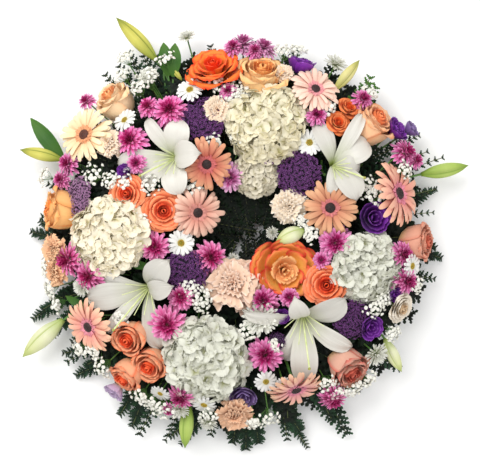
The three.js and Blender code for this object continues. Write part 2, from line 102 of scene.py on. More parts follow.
def mottled(name, low, high, size_mm, roughness, grain_mm=None, depth=0.0, detail=3.0):
    """A material that wanders between two hex values over size_mm, with bumps grain_mm wide."""
    def colour(tree):
        ramp = add(tree, "ShaderNodeValToRGB", {"Fac": grain(tree, size_mm, detail)})
        for band, position, value in zip(ramp.color_ramp.elements, (0.3, 0.7), (low, high)):
            band.position = position
            band.color = linear(value)
        return ramp.outputs["Color"]

    def height(tree):
        return grain(tree, grain_mm, detail)

    return finish_material(name, colour, height if grain_mm else None, depth, Roughness=roughness)


def dress(node, material):
    """Gives a CAD node that stays in view its material."""
    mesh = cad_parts[node].data
    mesh.materials.clear()
    mesh.materials.append(material)


# Moulded polypropylene: an even colour, a soft gloss and the faint texture of the mould.
dress("back_tray", mottled(
    "moulded green polypropylene", 0x1F3A24, 0x264A2E, 14, 0.42, 0.8, 0.0002))


# ------------------------------------------------------------------ foam ring
# Phenolic floral foam, cut to a ring and soaked. It crumbles where stems go in, and it holds
# every stem by friction alone. The CAD node keeps its shape and its stem holes.

# Wet foam: dark green, no gloss, pitted by open cells of about a millimetre.
dress("foam_ring", mottled("wet phenolic floral foam", 0x1F4426, 0x3A6B3E, 3.0, 0.95, 1.2, 0.0012,
                           detail=6.0))


# ------------------------------------------------------------------ stems
# Cut green stems, stripped of their leaves. Each leaves the foam straight up and bends to meet its
# bloom from behind, and a spray's stems fork just above the foam.

STEM_FOOT = 0.02  # how high loose stems and fronds start in the foam
STEM_FORK = 0.053
FORKED_RISE, STRAIGHT_RISE = 0.022, 0.033
STEM_BEND = 0.42  # the share of a stem's length that its bends reach over
STEM_RADII = {
    "lily": 0.0032, "gerbera": 0.003, "rose": 0.0032, "hydrangea": 0.0032, "carnation": 0.0024,
    "lisianthus": 0.0022, "trachelium": 0.0024, "mum": 0.0016, "daisy": 0.0016,
    "gypsophila": 0.0013, "bud": 0.0024,
}


def new_tree(name, inputs):
    """An empty Geometry Nodes tree with named inputs and one geometry output."""
    tree = bpy.data.node_groups.new(name, "GeometryNodeTree")
    tree.interface.new_socket("Geometry", in_out="OUTPUT", socket_type="NodeSocketGeometry")
    for label, kind in inputs:
        tree.interface.new_socket(label, in_out="INPUT", socket_type="NodeSocket" + kind)
    return tree, add(tree, "NodeGroupInput").outputs


def close_tree(tree, geometry, material):
    """Ends a tree: real faces in place of instances, the material, and the output."""
    real = output(tree, "GeometryNodeRealizeInstances", {"Geometry": geometry})
    add(tree, "NodeGroupOutput", {
        0: output(tree, "GeometryNodeSetMaterial", {"Geometry": real, "Material": material})})


def into_scene(name, data):
    """A new object in the scene."""
    thing = bpy.data.objects.new(name, data)
    bpy.context.scene.collection.objects.link(thing)
    return thing


def grow(tree, inputs, base=None):
    """Runs a tree with its named inputs on a base mesh and returns the plain mesh it makes."""
    holder = into_scene("holder", base or bpy.data.meshes.new("seed"))
    modifier = holder.modifiers.new("grow", "NODES")
    modifier.node_group = tree
    for item in tree.interface.items_tree:
        if item.in_out == "INPUT" and item.name in inputs:
            modifier[item.identifier] = inputs[item.name]
    holder.update_tag()
    graph = bpy.context.evaluated_depsgraph_get()
    mesh = bpy.data.meshes.new_from_object(holder.evaluated_get(graph), depsgraph=graph)
    bpy.data.objects.remove(holder)
    return mesh


def tube(tree, curve, radius, sides):
    """A smooth closed tube along a curve."""
    section = output(tree, "GeometryNodeCurvePrimitiveCircle", {
        "Resolution": sides, "Radius": radius})
    body = output(tree, "GeometryNodeCurveToMesh", {
        "Curve": curve, "Profile Curve": section, "Fill Caps": True})
    return output(tree, "GeometryNodeSetShadeSmooth", {"Geometry": body})


def stem_tree():
    """A round stem along one bent curve."""
    tree, given = new_tree("stem on a curve", [
        ("Start", "Vector"), ("Rise", "Vector"), ("Approach", "Vector"), ("End", "Vector"),
        ("Radius", "Float"), ("Material", "Material")])
    curve = output(tree, "GeometryNodeCurvePrimitiveBezierSegment", {
        "Resolution": 9, "Start": given["Start"], "Start Handle": given["Rise"],
        "End Handle": given["Approach"], "End": given["End"]}, mode="POSITION")
    close_tree(tree, tube(tree, curve, given["Radius"], 7), given["Material"])
    return tree


STEM_TREE = stem_tree()

# Fresh stem skin: mid green, waxy, with long pale streaks.
STEM_SKIN = mottled("waxy green stem skin", 0x3D6A2A, 0x6C9A48, 9, 0.45, 1.5, 0.0002)


def stem(foot, top, axis, radius, forked, skin=STEM_SKIN):
    """The mesh of one stem from its foot in the foam to a point inside its bloom."""
    start = Vector(foot)
    if forked:
        start.z = STEM_FORK
    reach = STEM_BEND * (top - start).length
    rise = Vector((0, 0, min(FORKED_RISE if forked else STRAIGHT_RISE, reach)))
    return grow(STEM_TREE, {
        "Start": start, "Rise": start + rise, "Approach": top - axis * reach, "End": top,
        "Radius": radius, "Material": skin})


def main_stem(foot, radius):
    """The straight part of a spray's stem in the foam, up to its fork."""
    fork = Vector((foot.x, foot.y, STEM_FORK + radius))
    return grow(STEM_TREE, {
        "Start": foot, "Rise": foot.lerp(fork, 0.33), "Approach": foot.lerp(fork, 0.66),
        "End": fork, "Radius": radius, "Material": STEM_SKIN})


def at_bearing(reach, angle, height):
    """The point so far out from the +Z axis at an angle round it, and so high."""
    return Vector((reach * math.cos(angle), reach * math.sin(angle), height))


class Head:
    """The place of one bloom: the middle of its face, the way it looks, its radius and its spin.

    A head can stand for one petal, which is then raised by lean."""

    def __init__(self, centre, axis, radius, spin=0.0, lean=0.0):
        self.centre, self.axis, self.radius, self.spin, self.lean = centre, axis, radius, spin, lean

    def turned(self):
        """The rotation that lays a bloom made round +Z along this head's axis."""
        facing = self.axis.to_track_quat("Z", "Y").to_matrix()
        return facing @ Matrix.Rotation(self.spin, 3, "Z") @ Matrix.Rotation(self.lean, 3, "X")

    def behind(self, distance):
        """A point on the head's axis, so many radii behind its face."""
        return self.centre - self.axis * (self.radius * distance)

    def tipped(self, degrees, pivot=0.5, scale=1.0):
        """This head leaned further out about a point so many radii behind its face."""
        about = Vector((0, 0, 1)).cross(self.axis).normalized()
        axis = Matrix.Rotation(math.radians(degrees), 3, about) @ self.axis
        radius = self.radius * scale
        return Head(self.behind(pivot) + axis * (pivot * self.radius), axis, radius, self.spin)


# The cushion is half an ellipse across the ring: its middle, half-width, foot, height and edge.
CUSHION_MID, CUSHION_HALF = 0.225, 0.19
CUSHION_BASE, CUSHION_RISE = 0.03, 0.092
CUSHION_EDGE = 0.93
LEAN_OUT, LEAN_IN = math.radians(72), math.radians(30)
SPIN_STEP, SPIN_ROUND = 2.4, 6.283
FOAM_CIRCLE, FOOT_PULL = 0.21, 0.12
MM = 0.001


def on_cushion(places, lift=0.0, seed=0, tilt=1.0):
    """Heads for small blooms at (x, y, radius) in mm, on the cushion that the others form.

    tilt is the share of the cushion's slope that they lean by."""
    heads = []
    for i, (x, y, radius) in enumerate(places):
        across = (math.hypot(x, y) * MM - CUSHION_MID) / CUSHION_HALF
        t = min(max(across, -CUSHION_EDGE), CUSHION_EDGE)
        z = CUSHION_BASE + CUSHION_RISE * math.sqrt(1 - t * t) + lift * MM
        lean = t * tilt * (LEAN_OUT if t > 0 else LEAN_IN)
        axis = at_bearing(math.sin(lean), math.atan2(y, x), math.cos(lean))
        heads.append(Head(Vector((x * MM, y * MM, z)), axis, radius * MM, (seed + i) * SPIN_STEP))
    return heads


def loose_stems(heads, kind, depth):
    """A stem for each small bloom, from the foam nearest to it."""
    made = []
    for head in heads:
        away = Vector((head.centre.x, head.centre.y, 0))
        foot = away.normalized() * ((1 - FOOT_PULL) * FOAM_CIRCLE + FOOT_PULL * away.length)
        foot.z = STEM_FOOT
        made.append(stem(foot, head.behind(depth), head.axis, STEM_RADII[kind], False))
    return made


MERGE_STEPS = 1e5  # corners closer than a hundredth of a millimetre are one
FOOT_BAND = 2e-4
EVEN_RING = 0.9  # how nearly equal the spokes of a crown's ring are


def corners_of(node):
    """A CAD node's corners, merged, and the corners that each one shares an edge with."""
    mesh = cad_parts[node].data
    places = np.empty(len(mesh.vertices) * 3)
    mesh.vertices.foreach_get("co", places)
    places = places.reshape(-1, 3)
    _, first, merged = np.unique(np.round(places * MERGE_STEPS).astype(int), axis=0,
                                 return_index=True, return_inverse=True)
    merged = merged.reshape(-1)
    neighbours = [set() for _ in first]
    for face in mesh.polygons:
        corners = [merged[i] for i in face.vertices]
        for corner in corners:
            neighbours[corner].update(corners)
    return places[first], [sorted(near - {i}) for i, near in enumerate(neighbours)]


def foot_of(node):
    """The end of a node's stem in the foam: the middle of its lowest corners."""
    corners = corners_of(node)[0]
    low = corners[corners[:, 2] < corners[:, 2].min() + FOOT_BAND]
    return Vector(low.mean(axis=0))


def heads_of(node, sides, crown, ring=0.3, seed=0):
    """The blooms of a CAD node, read from their crowns: a corner inside an even ring of others.

    sides is the number of corners in the ring, ring its radius and crown the crown's height,
    both in bloom radii."""
    corners, neighbours = corners_of(node)
    foot = foot_of(node)
    heads = []
    for i, near in enumerate(neighbours):
        if len(near) != sides:
            continue
        rim = corners[near]
        spokes = np.linalg.norm(rim - corners[i], axis=1)
        middle = rim.mean(axis=0)
        _, spread, rows = np.linalg.svd(rim - middle)
        if spokes.min() < EVEN_RING * spokes.max() or spread[1] < EVEN_RING * spread[0]:
            continue
        axis = Vector(rows[2])
        if axis.dot(Vector(corners[i]) - foot) < 0:
            axis.negate()
        radius = float(np.linalg.norm(rim - middle, axis=1).mean()) / ring
        centre = Vector(corners[i]) - axis * (crown * radius)
        heads.append(Head(centre, axis, radius, (seed + len(heads) * SPIN_STEP) % SPIN_ROUND))
    return heads


def blooms_of(kind, first_seed, sides, crown, **how):
    """Each CAD node of one kind of flower, with its seed and the heads of its blooms."""
    nodes = sorted(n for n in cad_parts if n.startswith(kind))
    for seed, node in enumerate(nodes, first_seed):
        yield seed, node, heads_of(node, sides, crown, seed=seed, **how)


# ------------------------------------------------------------------ petals and florets
# Every bloom is a set of thin petals round one point. A petal is a fine sheet that follows a
# curve from the flower's middle outwards; whorls and domes of copies make a flower head.

PROTOTYPES = bpy.data.collections.new("petal patterns")


def smooth_through(values, v):
    """Values along a petal, on a smooth curve through the ones given."""
    values = np.asarray(values, float)
    last = len(values) - 1
    place = np.clip(v * last, 0, last - 1e-9)
    i = place.astype(int)
    f = place - i
    before, here = values[np.maximum(i - 1, 0)], values[i]
    after, beyond = values[i + 1], values[np.minimum(i + 2, last)]
    return here + 0.5 * f * (after - before + f * (
        2 * before - 5 * here + 4 * after - beyond + f * (3 * (here - after) + beyond - before)))


def mesh_of(name, points, faces, place=None, smooth=True):
    """A mesh; place says for each point how far across and along its petal it lies."""
    mesh = bpy.data.meshes.new(name)
    mesh.from_pydata(points, [], faces)
    if place is not None:
        uv = mesh.uv_layers.new(name="petal")
        for loop in mesh.loops:
            uv.data[loop.index].uv = place[loop.vertex_index]
    if smooth:
        mesh.polygons.foreach_set("use_smooth", [True] * len(faces))
    return mesh


def sheet_faces(along, across):
    """The faces of a sheet of points, row after row."""
    row = across + 1
    return [(j * row + i, j * row + i + 1, (j + 1) * row + i + 1, (j + 1) * row + i)
            for j in range(along) for i in range(across)]


def hoop_faces(along, sides):
    """The faces of a round wall of points, ring after ring."""
    return [(j * sides + k, j * sides + (k + 1) % sides, (j + 1) * sides + (k + 1) % sides,
             (j + 1) * sides + k) for j in range(along) for k in range(sides)]


def petal(name, reach, rise, width, across=4, along=6, wrapped=False, cup=0.0, fold=0.0,
          ruffle=0.0, waves=3):
    """A petal pointing along +Y, in bloom radii.

    reach and rise are its distance from the axis and its height from foot to tip. width is its
    half-width, or, wrapped round the axis, the half-angle it covers. fold creases its midrib."""
    v, u = np.meshgrid(np.linspace(0, 1, along + 1), np.linspace(-1, 1, across + 1), indexing="ij")
    out, up, half = smooth_through(reach, v), smooth_through(rise, v), smooth_through(width, v)
    side = u * half
    wave = ruffle * np.sin(waves * math.pi * u + 2.0 * v) * v ** 2
    up = up + (cup * u ** 2 + fold * np.abs(u)) * (1 if wrapped else half) + wave
    if wrapped:
        out = out + 0.5 * wave
        x, y = out * np.sin(side), out * np.cos(side)
    else:
        x, y = side, out
    points = np.stack([x, y, up], axis=-1).reshape(-1, 3)
    place = np.stack([(u + 1) / 2, v], axis=-1).reshape(-1, 2)
    return pattern(name, mesh_of(name, points.tolist(), sheet_faces(along, across), place))


def pattern(name, mesh):
    """Keeps a mesh as a pattern object that trees make copies of."""
    thing = bpy.data.objects.new(name, mesh)
    PROTOTYPES.objects.link(thing)
    return thing


def seats(heads):
    """A mesh of loose points, one for each head, with its turn and size as attributes."""
    mesh = bpy.data.meshes.new("seats")
    mesh.from_pydata([head.centre for head in heads], [], [])
    turns = [angle for head in heads for angle in head.turned().to_euler()]
    mesh.attributes.new("turn", "FLOAT_VECTOR", "POINT").data.foreach_set("vector", turns)
    mesh.attributes.new("size", "FLOAT", "POINT").data.foreach_set(
        "value", [head.radius for head in heads])
    return mesh


def on_seats(tree, given, instance):
    """Ends a tree: a copy of what it made on every seat, turned and sized by the seat."""
    turn, size = (output(tree, "GeometryNodeInputNamedAttribute", {"Name": name}, data_type=kind)
                  for name, kind in (("turn", "FLOAT_VECTOR"), ("size", "FLOAT")))
    rotation = output(tree, "FunctionNodeEulerToRotation", {0: turn})
    close_tree(tree, output(tree, "GeometryNodeInstanceOnPoints", {
        "Points": given["Seats"], "Instance": instance, "Rotation": rotation, "Scale": size,
    }), given["Material"])


def math_node(tree, operation, first, second=0.0):
    """One arithmetic step in a tree; each side is an output or a number."""
    return output(tree, "ShaderNodeMath", {0: first, 1: second}, operation=operation)


def vector_node(tree, operation, inputs):
    """One vector step in a tree."""
    return output(tree, "ShaderNodeVectorMath", inputs, operation=operation)


def chance(tree, given, low, high, offset):
    """A random number for each copy, from the tree's fixed seed."""
    seed = output(tree, "FunctionNodeIntegerMath", {0: given["Seed"], 1: offset}, operation="ADD")
    return add(tree, "FunctionNodeRandomValue", {2: low, 3: high, "Seed": seed},
               data_type="FLOAT").outputs[1]


def product(tree, first, *others):
    """The product of outputs and numbers."""
    for other in others:
        first = math_node(tree, "MULTIPLY", first, other)
    return first


def spread(tree, given, label, offset):
    """A random number between minus and plus one of the tree's inputs."""
    return chance(tree, given, product(tree, given[label], -1.0), given[label], offset)


def vector_of(tree, x=0.0, y=0.0, z=0.0):
    """A vector from three outputs or numbers."""
    return output(tree, "ShaderNodeCombineXYZ", {"X": x, "Y": y, "Z": z})


def rotation_of(tree, x=0.0, y=0.0, z=0.0):
    """A rotation from three angles."""
    return output(tree, "FunctionNodeEulerToRotation", {0: vector_of(tree, x, y, z)})


def copies_of(tree, given, label, points, rotation, scale):
    """A copy of a pattern object on every point, each with its own tone."""
    shape = add(tree, "GeometryNodeObjectInfo", {"Object": given[label]})
    copies = output(tree, "GeometryNodeInstanceOnPoints", {
        "Points": points, "Instance": shape.outputs["Geometry"], "Rotation": rotation,
        "Scale": scale})
    return output(tree, "GeometryNodeStoreNamedAttribute", {
        "Geometry": copies, "Name": "tone", "Value": chance(tree, given, 0.0, 1.0, 9)},
        data_type="FLOAT", domain="INSTANCE")


def whorl_tree():
    """Petals round an axis: each is turned on by a step, leaned, and varied a little."""
    tree, given = new_tree("whorl of petals", [
        ("Seats", "Geometry"), ("Petal", "Object"), ("Count", "Int"), ("Step", "Float"),
        ("Lean", "Float"), ("Lean spread", "Float"), ("Turn spread", "Float"),
        ("Size", "Float"), ("Size spread", "Float"), ("Height", "Float"), ("Seed", "Int"),
        ("Material", "Material")])
    points = add(tree, "GeometryNodePoints", {
        "Count": given["Count"], "Position": vector_of(tree, z=given["Height"])})
    index = output(tree, "GeometryNodeInputIndex")
    lean = math_node(tree, "ADD", given["Lean"], spread(tree, given, "Lean spread", 1))
    turn = math_node(tree, "ADD", product(tree, index, given["Step"]),
                     spread(tree, given, "Turn spread", 2))
    size = product(tree, given["Size"], math_node(
        tree, "ADD", 1.0, spread(tree, given, "Size spread", 3)))
    on_seats(tree, given, copies_of(
        tree, given, "Petal", points.outputs[0], rotation_of(tree, x=lean, z=turn), size))
    return tree


WHORL_TREE = whorl_tree()
GOLDEN_ANGLE = math.radians(137.508)


def whorl(heads, shape, material, count, step=None, lean=0.0, lean_spread=0.0, turn_spread=0.05,
          size=1.0, size_spread=0.05, height=0.0, seed=1):
    """The mesh of one whorl of petals on each head."""
    return grow(WHORL_TREE, {
        "Petal": shape, "Count": count, "Step": step or 2 * math.pi / count, "Lean": lean,
        "Lean spread": lean_spread, "Turn spread": turn_spread, "Size": size,
        "Size spread": size_spread, "Height": height, "Seed": seed, "Material": material,
    }, seats(heads))


def single(heads, shape, material, size=1.0):
    """The mesh of one copy of a pattern on each head."""
    return whorl(heads, shape, material, 1, size=size, size_spread=0.0)


HAIR_ROOT = 0.9  # where the hairs of a cloud meet, in radii behind its middle


def dome_tree(hairs):
    """Florets over a dome, or the hair stems to them, spaced by the golden angle from the top."""
    tree, given = new_tree("hair stems in a dome" if hairs else "florets on a dome", [
        ("Seats", "Geometry"), ("Floret", "Object"), ("Count", "Int"), ("Width", "Float"),
        ("Height", "Float"), ("Floret size", "Float"), ("Depth spread", "Float"),
        ("Tilt spread", "Float"), ("Seed", "Int"), ("Material", "Material")])
    index = output(tree, "GeometryNodeInputIndex")
    share = math_node(tree, "DIVIDE", math_node(tree, "ADD", index, 0.5), given["Count"])
    level = math_node(tree, "SUBTRACT", 1.0, share)
    ring = math_node(tree, "SQRT", math_node(tree, "SUBTRACT", 1.0001, product(tree, level, level)))
    angle = product(tree, index, GOLDEN_ANGLE)
    inward = math_node(tree, "SUBTRACT", 1.0, chance(tree, given, 0.0, given["Depth spread"], 1))
    flat = product(tree, ring, given["Width"], inward)
    cosine, sine = math_node(tree, "COSINE", angle), math_node(tree, "SINE", angle)
    place = vector_of(tree, product(tree, flat, cosine), product(tree, flat, sine),
                      product(tree, level, given["Height"], inward))
    placed = output(tree, "GeometryNodePoints", {"Count": given["Count"], "Position": place})
    if hairs:
        facing = vector_node(tree, "SUBTRACT", {0: place, 1: vector_of(tree, z=-HAIR_ROOT)})
        long = add(tree, "ShaderNodeVectorMath", {0: facing}, operation="LENGTH").outputs["Value"]
        size = vector_of(tree, given["Floret size"], given["Floret size"],
                         product(tree, long, -1.0))
    else:
        wide = math_node(tree, "DIVIDE", ring, given["Width"])
        facing = vector_of(tree, product(tree, wide, cosine), product(tree, wide, sine),
                           math_node(tree, "DIVIDE", level, given["Height"]))
        size = product(tree, given["Floret size"], chance(tree, given, 0.85, 1.15, 5))
    upright = output(tree, "FunctionNodeAlignRotationToVector", {"Vector": facing}, axis="Z")
    wobble = rotation_of(tree, spread(tree, given, "Tilt spread", 2),
                         spread(tree, given, "Tilt spread", 3),
                         chance(tree, given, 0.0, 2 * math.pi, 4))
    turned = output(tree, "FunctionNodeRotateRotation", {0: upright, 1: wobble},
                    rotation_space="LOCAL")
    on_seats(tree, given, copies_of(tree, given, "Floret", placed, turned, size))
    return tree


DOME_TREE = dome_tree(hairs=False)
HAIR_TREE = dome_tree(hairs=True)


def dome(heads, floret, material, count, floret_size, width, height, depth_spread=0.05,
         tilt_spread=0.2, seed=1, tree=DOME_TREE):
    """The mesh of a dome of florets on each head."""
    return grow(tree, {
        "Floret": floret, "Count": count, "Width": width, "Height": height,
        "Floret size": floret_size, "Depth spread": depth_spread, "Tilt spread": tilt_spread,
        "Seed": seed, "Material": material,
    }, seats(heads))


def turned_pattern(name, outline, sides=10):
    """A round closed pattern from an outline of (radius, height) points, axis to axis."""
    rings = [(r, z) for r, z in outline if r > 0]
    points = [at_bearing(r, 2 * math.pi * k / sides, z) for r, z in rings for k in range(sides)]
    faces = hoop_faces(len(rings) - 1, sides)
    bottom, top = len(points), len(points) + 1
    points += [(0, 0, outline[0][1]), (0, 0, outline[-1][1])]
    faces += [(bottom, (k + 1) % sides, k) for k in range(sides)]
    base = (len(rings) - 1) * sides
    faces += [(top, base + k, base + (k + 1) % sides) for k in range(sides)]
    return pattern(name, mesh_of(name, points, faces))


def petal_skin(name, stops, edge=None, edge_share=0.4, variety=0.16, roughness=0.5, sheen=0.05,
               veins=14.0, relief=0.0006, gloss=0.22):
    """A petal's surface: colours from its foot to its tip, a tinted edge, veins and a tone."""
    def vein(tree, place):
        """Noise stretched from foot to tip, as veins run."""
        squeezed = output(tree, "ShaderNodeMapping", {"Scale": (veins, 1.6, 1.0), "Vector": place})
        return add(tree, "ShaderNodeTexNoise", {
            "Scale": 1.0, "Detail": 2.0, "Vector": squeezed}).outputs["Fac"]

    def colour(tree):
        place = output(tree, "ShaderNodeUVMap", uv_map="petal")
        parts = add(tree, "ShaderNodeSeparateXYZ", {0: place})
        along = add(tree, "ShaderNodeValToRGB", {"Fac": parts.outputs["Y"]})
        bands = along.color_ramp.elements
        while len(bands) < len(stops):
            bands.new(0.5)
        for band, (position, value) in zip(bands, stops):
            band.position = position
            band.color = linear(value)
        result = along.outputs["Color"]
        if edge is not None:
            side = math_node(tree, "ABSOLUTE", math_node(tree, "SUBTRACT", parts.outputs["X"], 0.5))
            reach = math_node(tree, "MAXIMUM", math_node(tree, "MULTIPLY", side, 2.0),
                              parts.outputs["Y"])
            near = add(tree, "ShaderNodeMapRange", {
                "From Min": 1 - edge_share, "From Max": 1.0, "Value": reach})
            result = add(tree, "ShaderNodeMix", {
                0: near.outputs[0], 6: result, 7: linear(edge)}, data_type="RGBA").outputs[2]
        tone = add(tree, "ShaderNodeAttribute", attribute_name="tone").outputs["Fac"]
        value = add(tree, "ShaderNodeMapRange", {
            "To Min": 1 - variety, "To Max": 1 + 0.4 * variety, "Value": tone})
        streak = add(tree, "ShaderNodeMapRange", {
            "To Min": 0.93, "To Max": 1.05, "Value": vein(tree, place)})
        both = math_node(tree, "MULTIPLY", value.outputs[0], streak.outputs[0])
        return output(tree, "ShaderNodeHueSaturation", {"Color": result, "Value": both})

    def height(tree):
        return vein(tree, output(tree, "ShaderNodeUVMap", uv_map="petal"))

    return finish_material(name, colour, height, relief, Roughness=roughness,
                           **{"Sheen Weight": sheen, "Sheen Roughness": 0.4,
                              "Specular IOR Level": gloss})


def settle(name, meshes, slot, *nodes):
    """Joins meshes into one piece of the wreath that rides on it and stands for its CAD nodes."""
    things = [into_scene(name, mesh) for mesh in meshes]
    thing = things[0]
    with bpy.context.temp_override(active_object=thing, object=thing, selected_objects=things,
                                   selected_editable_objects=things):
        bpy.ops.object.join()
    thing.name = name
    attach(thing, "root")
    if nodes:
        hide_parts(*nodes)


def stems_to(node, heads, kind, depth):
    """The stems of a node's heads, from its foot in the foam to a point inside each head."""
    foot = foot_of(node)
    radius = STEM_RADII[kind]
    forked = len(heads) > 1
    made = [main_stem(foot, radius)] if forked else []
    for head in heads:
        made.append(stem(foot, head.behind(depth), head.axis, radius, forked))
    return made


# For each kind of flower: how far behind a bloom's face its stem ends, in bloom radii, and the
# slot of its pieces.
KINDS = {
    "hydrangea": (0.6, "hydrangea_cream"), "gerbera": (0.2, "gerbera_peach"),
    "rose": (0.8, "rose_orange"), "carnation": (1.0, "carnation_peach"),
    "mum": (0.36, "mum_pink"), "daisy": (0.3, "daisy_white"),
    "lisianthus": (0.85, "lisianthus_purple"), "trachelium": (0.5, "trachelium_violet"),
    "gypsophila": (0.85, "gypsophila_white"),
}


def flower(node, heads, meshes):
    """The piece that stands for a CAD node: its stems and the petals of its blooms."""
    kind = node.split("_")[0]
    depth, slot = KINDS[kind]
    settle(node + "_flower", stems_to(node, heads, kind, depth) + meshes, slot, node)


def small_flowers(name, heads, kind, meshes):
    """A piece with no CAD node: small blooms that fill the gaps, each on a stem of its own."""
    depth, slot = KINDS[kind]
    settle(name, loose_stems(heads, kind, depth) + meshes, slot)


# ------------------------------------------------------------------ hydrangeas
# Cream mophead hydrangeas, used low as a base. Each is a dome of small florets with four broad
# sepals round a bead, on a green branching head with one woody stem.

HYDRANGEA_FLORETS = 92
HYDRANGEA_FLORET = 0.275
# Each head's foot and face colours: its own cream and green, made lighter or darker head by head as
# painted light and shade, lightest at the left and top.
HYDRANGEA_TINTS = {
    "hydrangea_top": (0xA8A456, 0xEAE2C6), "hydrangea_inner": (0x9E985E, 0xDCD4BE),
    "hydrangea_right": (0xA2A47A, 0xDADACC), "hydrangea_bottom": (0xA4A66E, 0xDEDED0),
    "hydrangea_left": (0xB6AC62, 0xF2E9D2),
}

SEPAL = petal("sepal", [0.06, 0.4, 0.76, 1.0], [0.0, 0.07, 0.09, 0.02], [0.1, 0.46, 0.54, 0.22],
              across=4, along=4, cup=0.16, fold=0.16, ruffle=0.07, waves=2)


def cross_of(shape, count, lean):
    """A floret pattern: a whorl of one petal pattern, at the middle, one radius across."""
    seat = [Head(Vector((0, 0, 0)), Vector((0, 0, 1)), 1.0)]
    return pattern(shape.name + " floret", whorl(seat, shape, None, count, lean=lean))


HYDRANGEA_CROSS = cross_of(SEPAL, 4, 0.12)
HYDRANGEA_CORE = turned_pattern("hydrangea core", [
    (0, -0.62), (0.5, -0.45), (0.8, -0.2), (0.72, 0.0), (0.4, 0.14), (0, 0.18)], 14)
BEAD = turned_pattern("bead", [(0, -0.5), (0.42, -0.3), (0.5, 0.1), (0.3, 0.42), (0, 0.5)], 6)

# Hydrangea branchlets inside the head: pale green, matt.
BRANCHLETS = mottled("green flower branchlets", 0x55702E, 0x8EA558, 5, 0.7, 2.0, 0.001)
# Beads in the middle of the florets: cream green, smooth.
FLORET_BEAD = mottled("cream green floret beads", 0xC9D08A, 0xE6E6B4, 2, 0.5)

for seed, node, heads in blooms_of("hydrangea", 11, 12, 0.3):
    dark, light = HYDRANGEA_TINTS[node]
    # Hydrangea sepals: soft, matt and faintly veined, greener at the foot, and darker there as
    # painted shade between the florets.
    skin = petal_skin(node + " sepals", [(0.0, dark), (0.4, light), (1.0, light)], variety=0.26,
                      roughness=0.65)
    shape = {"width": 0.95, "height": 0.38, "depth_spread": 0.2, "seed": seed}
    flower(node, heads, [
        single(heads, HYDRANGEA_CORE, BRANCHLETS, 0.96),
        dome(heads, HYDRANGEA_CROSS, skin, HYDRANGEA_FLORETS, HYDRANGEA_FLORET, tilt_spread=0.5,
             **shape),
        dome(heads, BEAD, FLORET_BEAD, HYDRANGEA_FLORETS, 0.03, **shape),
    ])


# ------------------------------------------------------------------ lilies
# Large white oriental lilies: six recurved tepals round a green throat, a long pistil and six
# filaments whose pollen-bearing anthers the florist has taken off, with buds and leaves.

# For each lily, its tepals in order round the throat: bearing on the wreath (degrees), length
# seen from above (mm), how far the tepal is raised (degrees) and its form.
LILY_TEPALS = {
    "lily_upper_left": [(275, 78, 14, "broad"), (218, 92, 14, "plain"), (186, 120, 18, "plain"),
                        (127, 98, 14, "slim"), (79, 74, 14, "broad"), (5, 50, 30, "broad")],
    "lily_upper_right": [(303, 84, 18, "broad"), (262, 60, 12, "slim"), (350, 56, 18, "plain"),
                         (30, 88, 18, "broad"), (60, 122, 24, "slim"), (114, 92, 14, "plain")],
    "lily_lower_right": [(272, 142, 24, "broad"), (247, 104, 18, "plain"), (178, 118, 8, "slim"),
                         (326, 122, 20, "plain"), (20, 90, 12, "broad"), (118, 40, 26, "plain")],
    "lily_lower_left": [(280, 128, 9, "plain"), (228, 128, 20, "slim"), (190, 130, 20, "broad"),
                        (164, 106, 16, "slim"), (52, 68, 16, "broad"), (2, 50, 22, "plain")],
}
# Where each lily's pistil ends, seen from above (mm).
LILY_PISTILS = {"lily_upper_left": (-202, 122), "lily_upper_right": (238, 118),
                "lily_lower_right": (130, -256), "lily_lower_left": (-254, -180)}
LILY_THROAT = 0.72
PISTIL_RISE, FILAMENT_DROP, STIGMA_RADIUS = 0.014, 0.012, 0.006
FILAMENT_FAN = (-58, -34, -14, 12, 30, 52)  # degrees from the pistil
LILY_PATH = [0.01, 0.12, 0.34, 0.66, 0.92, 1.0]
LILY_ARCH = [0, 16, 31, 37, 30, 17]
TEPAL_OUTLINE = [0.18, 0.34, 0.72, 1.0, 0.72, 0.03]
TEPAL_HALF = {"broad": 28, "plain": 21, "slim": 15}


def tepal(form, length):
    """A tepal pattern as wide and as arched as its form (mm), whatever its length."""
    return petal(form + " tepal", LILY_PATH, [rise * MM / length for rise in LILY_ARCH],
                 [share * TEPAL_HALF[form] * MM / length for share in TEPAL_OUTLINE], across=8,
                 along=14, cup=-0.5, fold=0.55, ruffle=0.035, waves=2)


# Lily tepals: waxy white, with a green nectar streak at the foot and fine lengthwise veins.
LILY_SKIN = petal_skin("white lily tepals", [
    (0.0, 0x74882E), (0.12, 0xA4B45C), (0.3, 0xC9CBB4), (0.55, 0xD4D1C8), (1.0, 0xCFCAC0)],
    variety=0.16, roughness=0.42, veins=9.0, relief=0.0016, gloss=0.4)
# Pistil and filaments: pale fresh green, moist.
PISTIL_SKIN = mottled("pale green pistil", 0xC4D282, 0xE4E8B8, 6, 0.35)
# Stigma: a sticky knob, darker green.
STIGMA_SKIN = mottled("sticky stigma", 0x8E9A3E, 0xB3A85A, 2, 0.3, 1.0, 0.0005)
# Lily buds: green to cream, with darker furrows where the tepals meet.
BUD_SKINS = {
    kind: petal_skin(kind + " lily bud", [(0.0, foot), (middle_at, middle), (1.0, tip)],
                     edge=furrow, edge_share=share, roughness=0.4, veins=20.0)
    for kind, foot, middle, middle_at, tip, furrow, share in [
        ("yellow green", 0x8FA23A, 0xDAD468, 0.5, 0xBCB84A, 0x76862A, 0.26),
        ("green", 0x8DB040, 0xB8CE6C, 0.5, 0xA3BE4C, 0x87A545, 0.3),
        ("opening", 0xB0C566, 0xE9EBC4, 0.4, 0xD9DF8E, 0xB4C36C, 0.25),
        ("cream", 0xB4B85C, 0xE4DC96, 0.5, 0xD2C870, 0x98A048, 0.26)]}
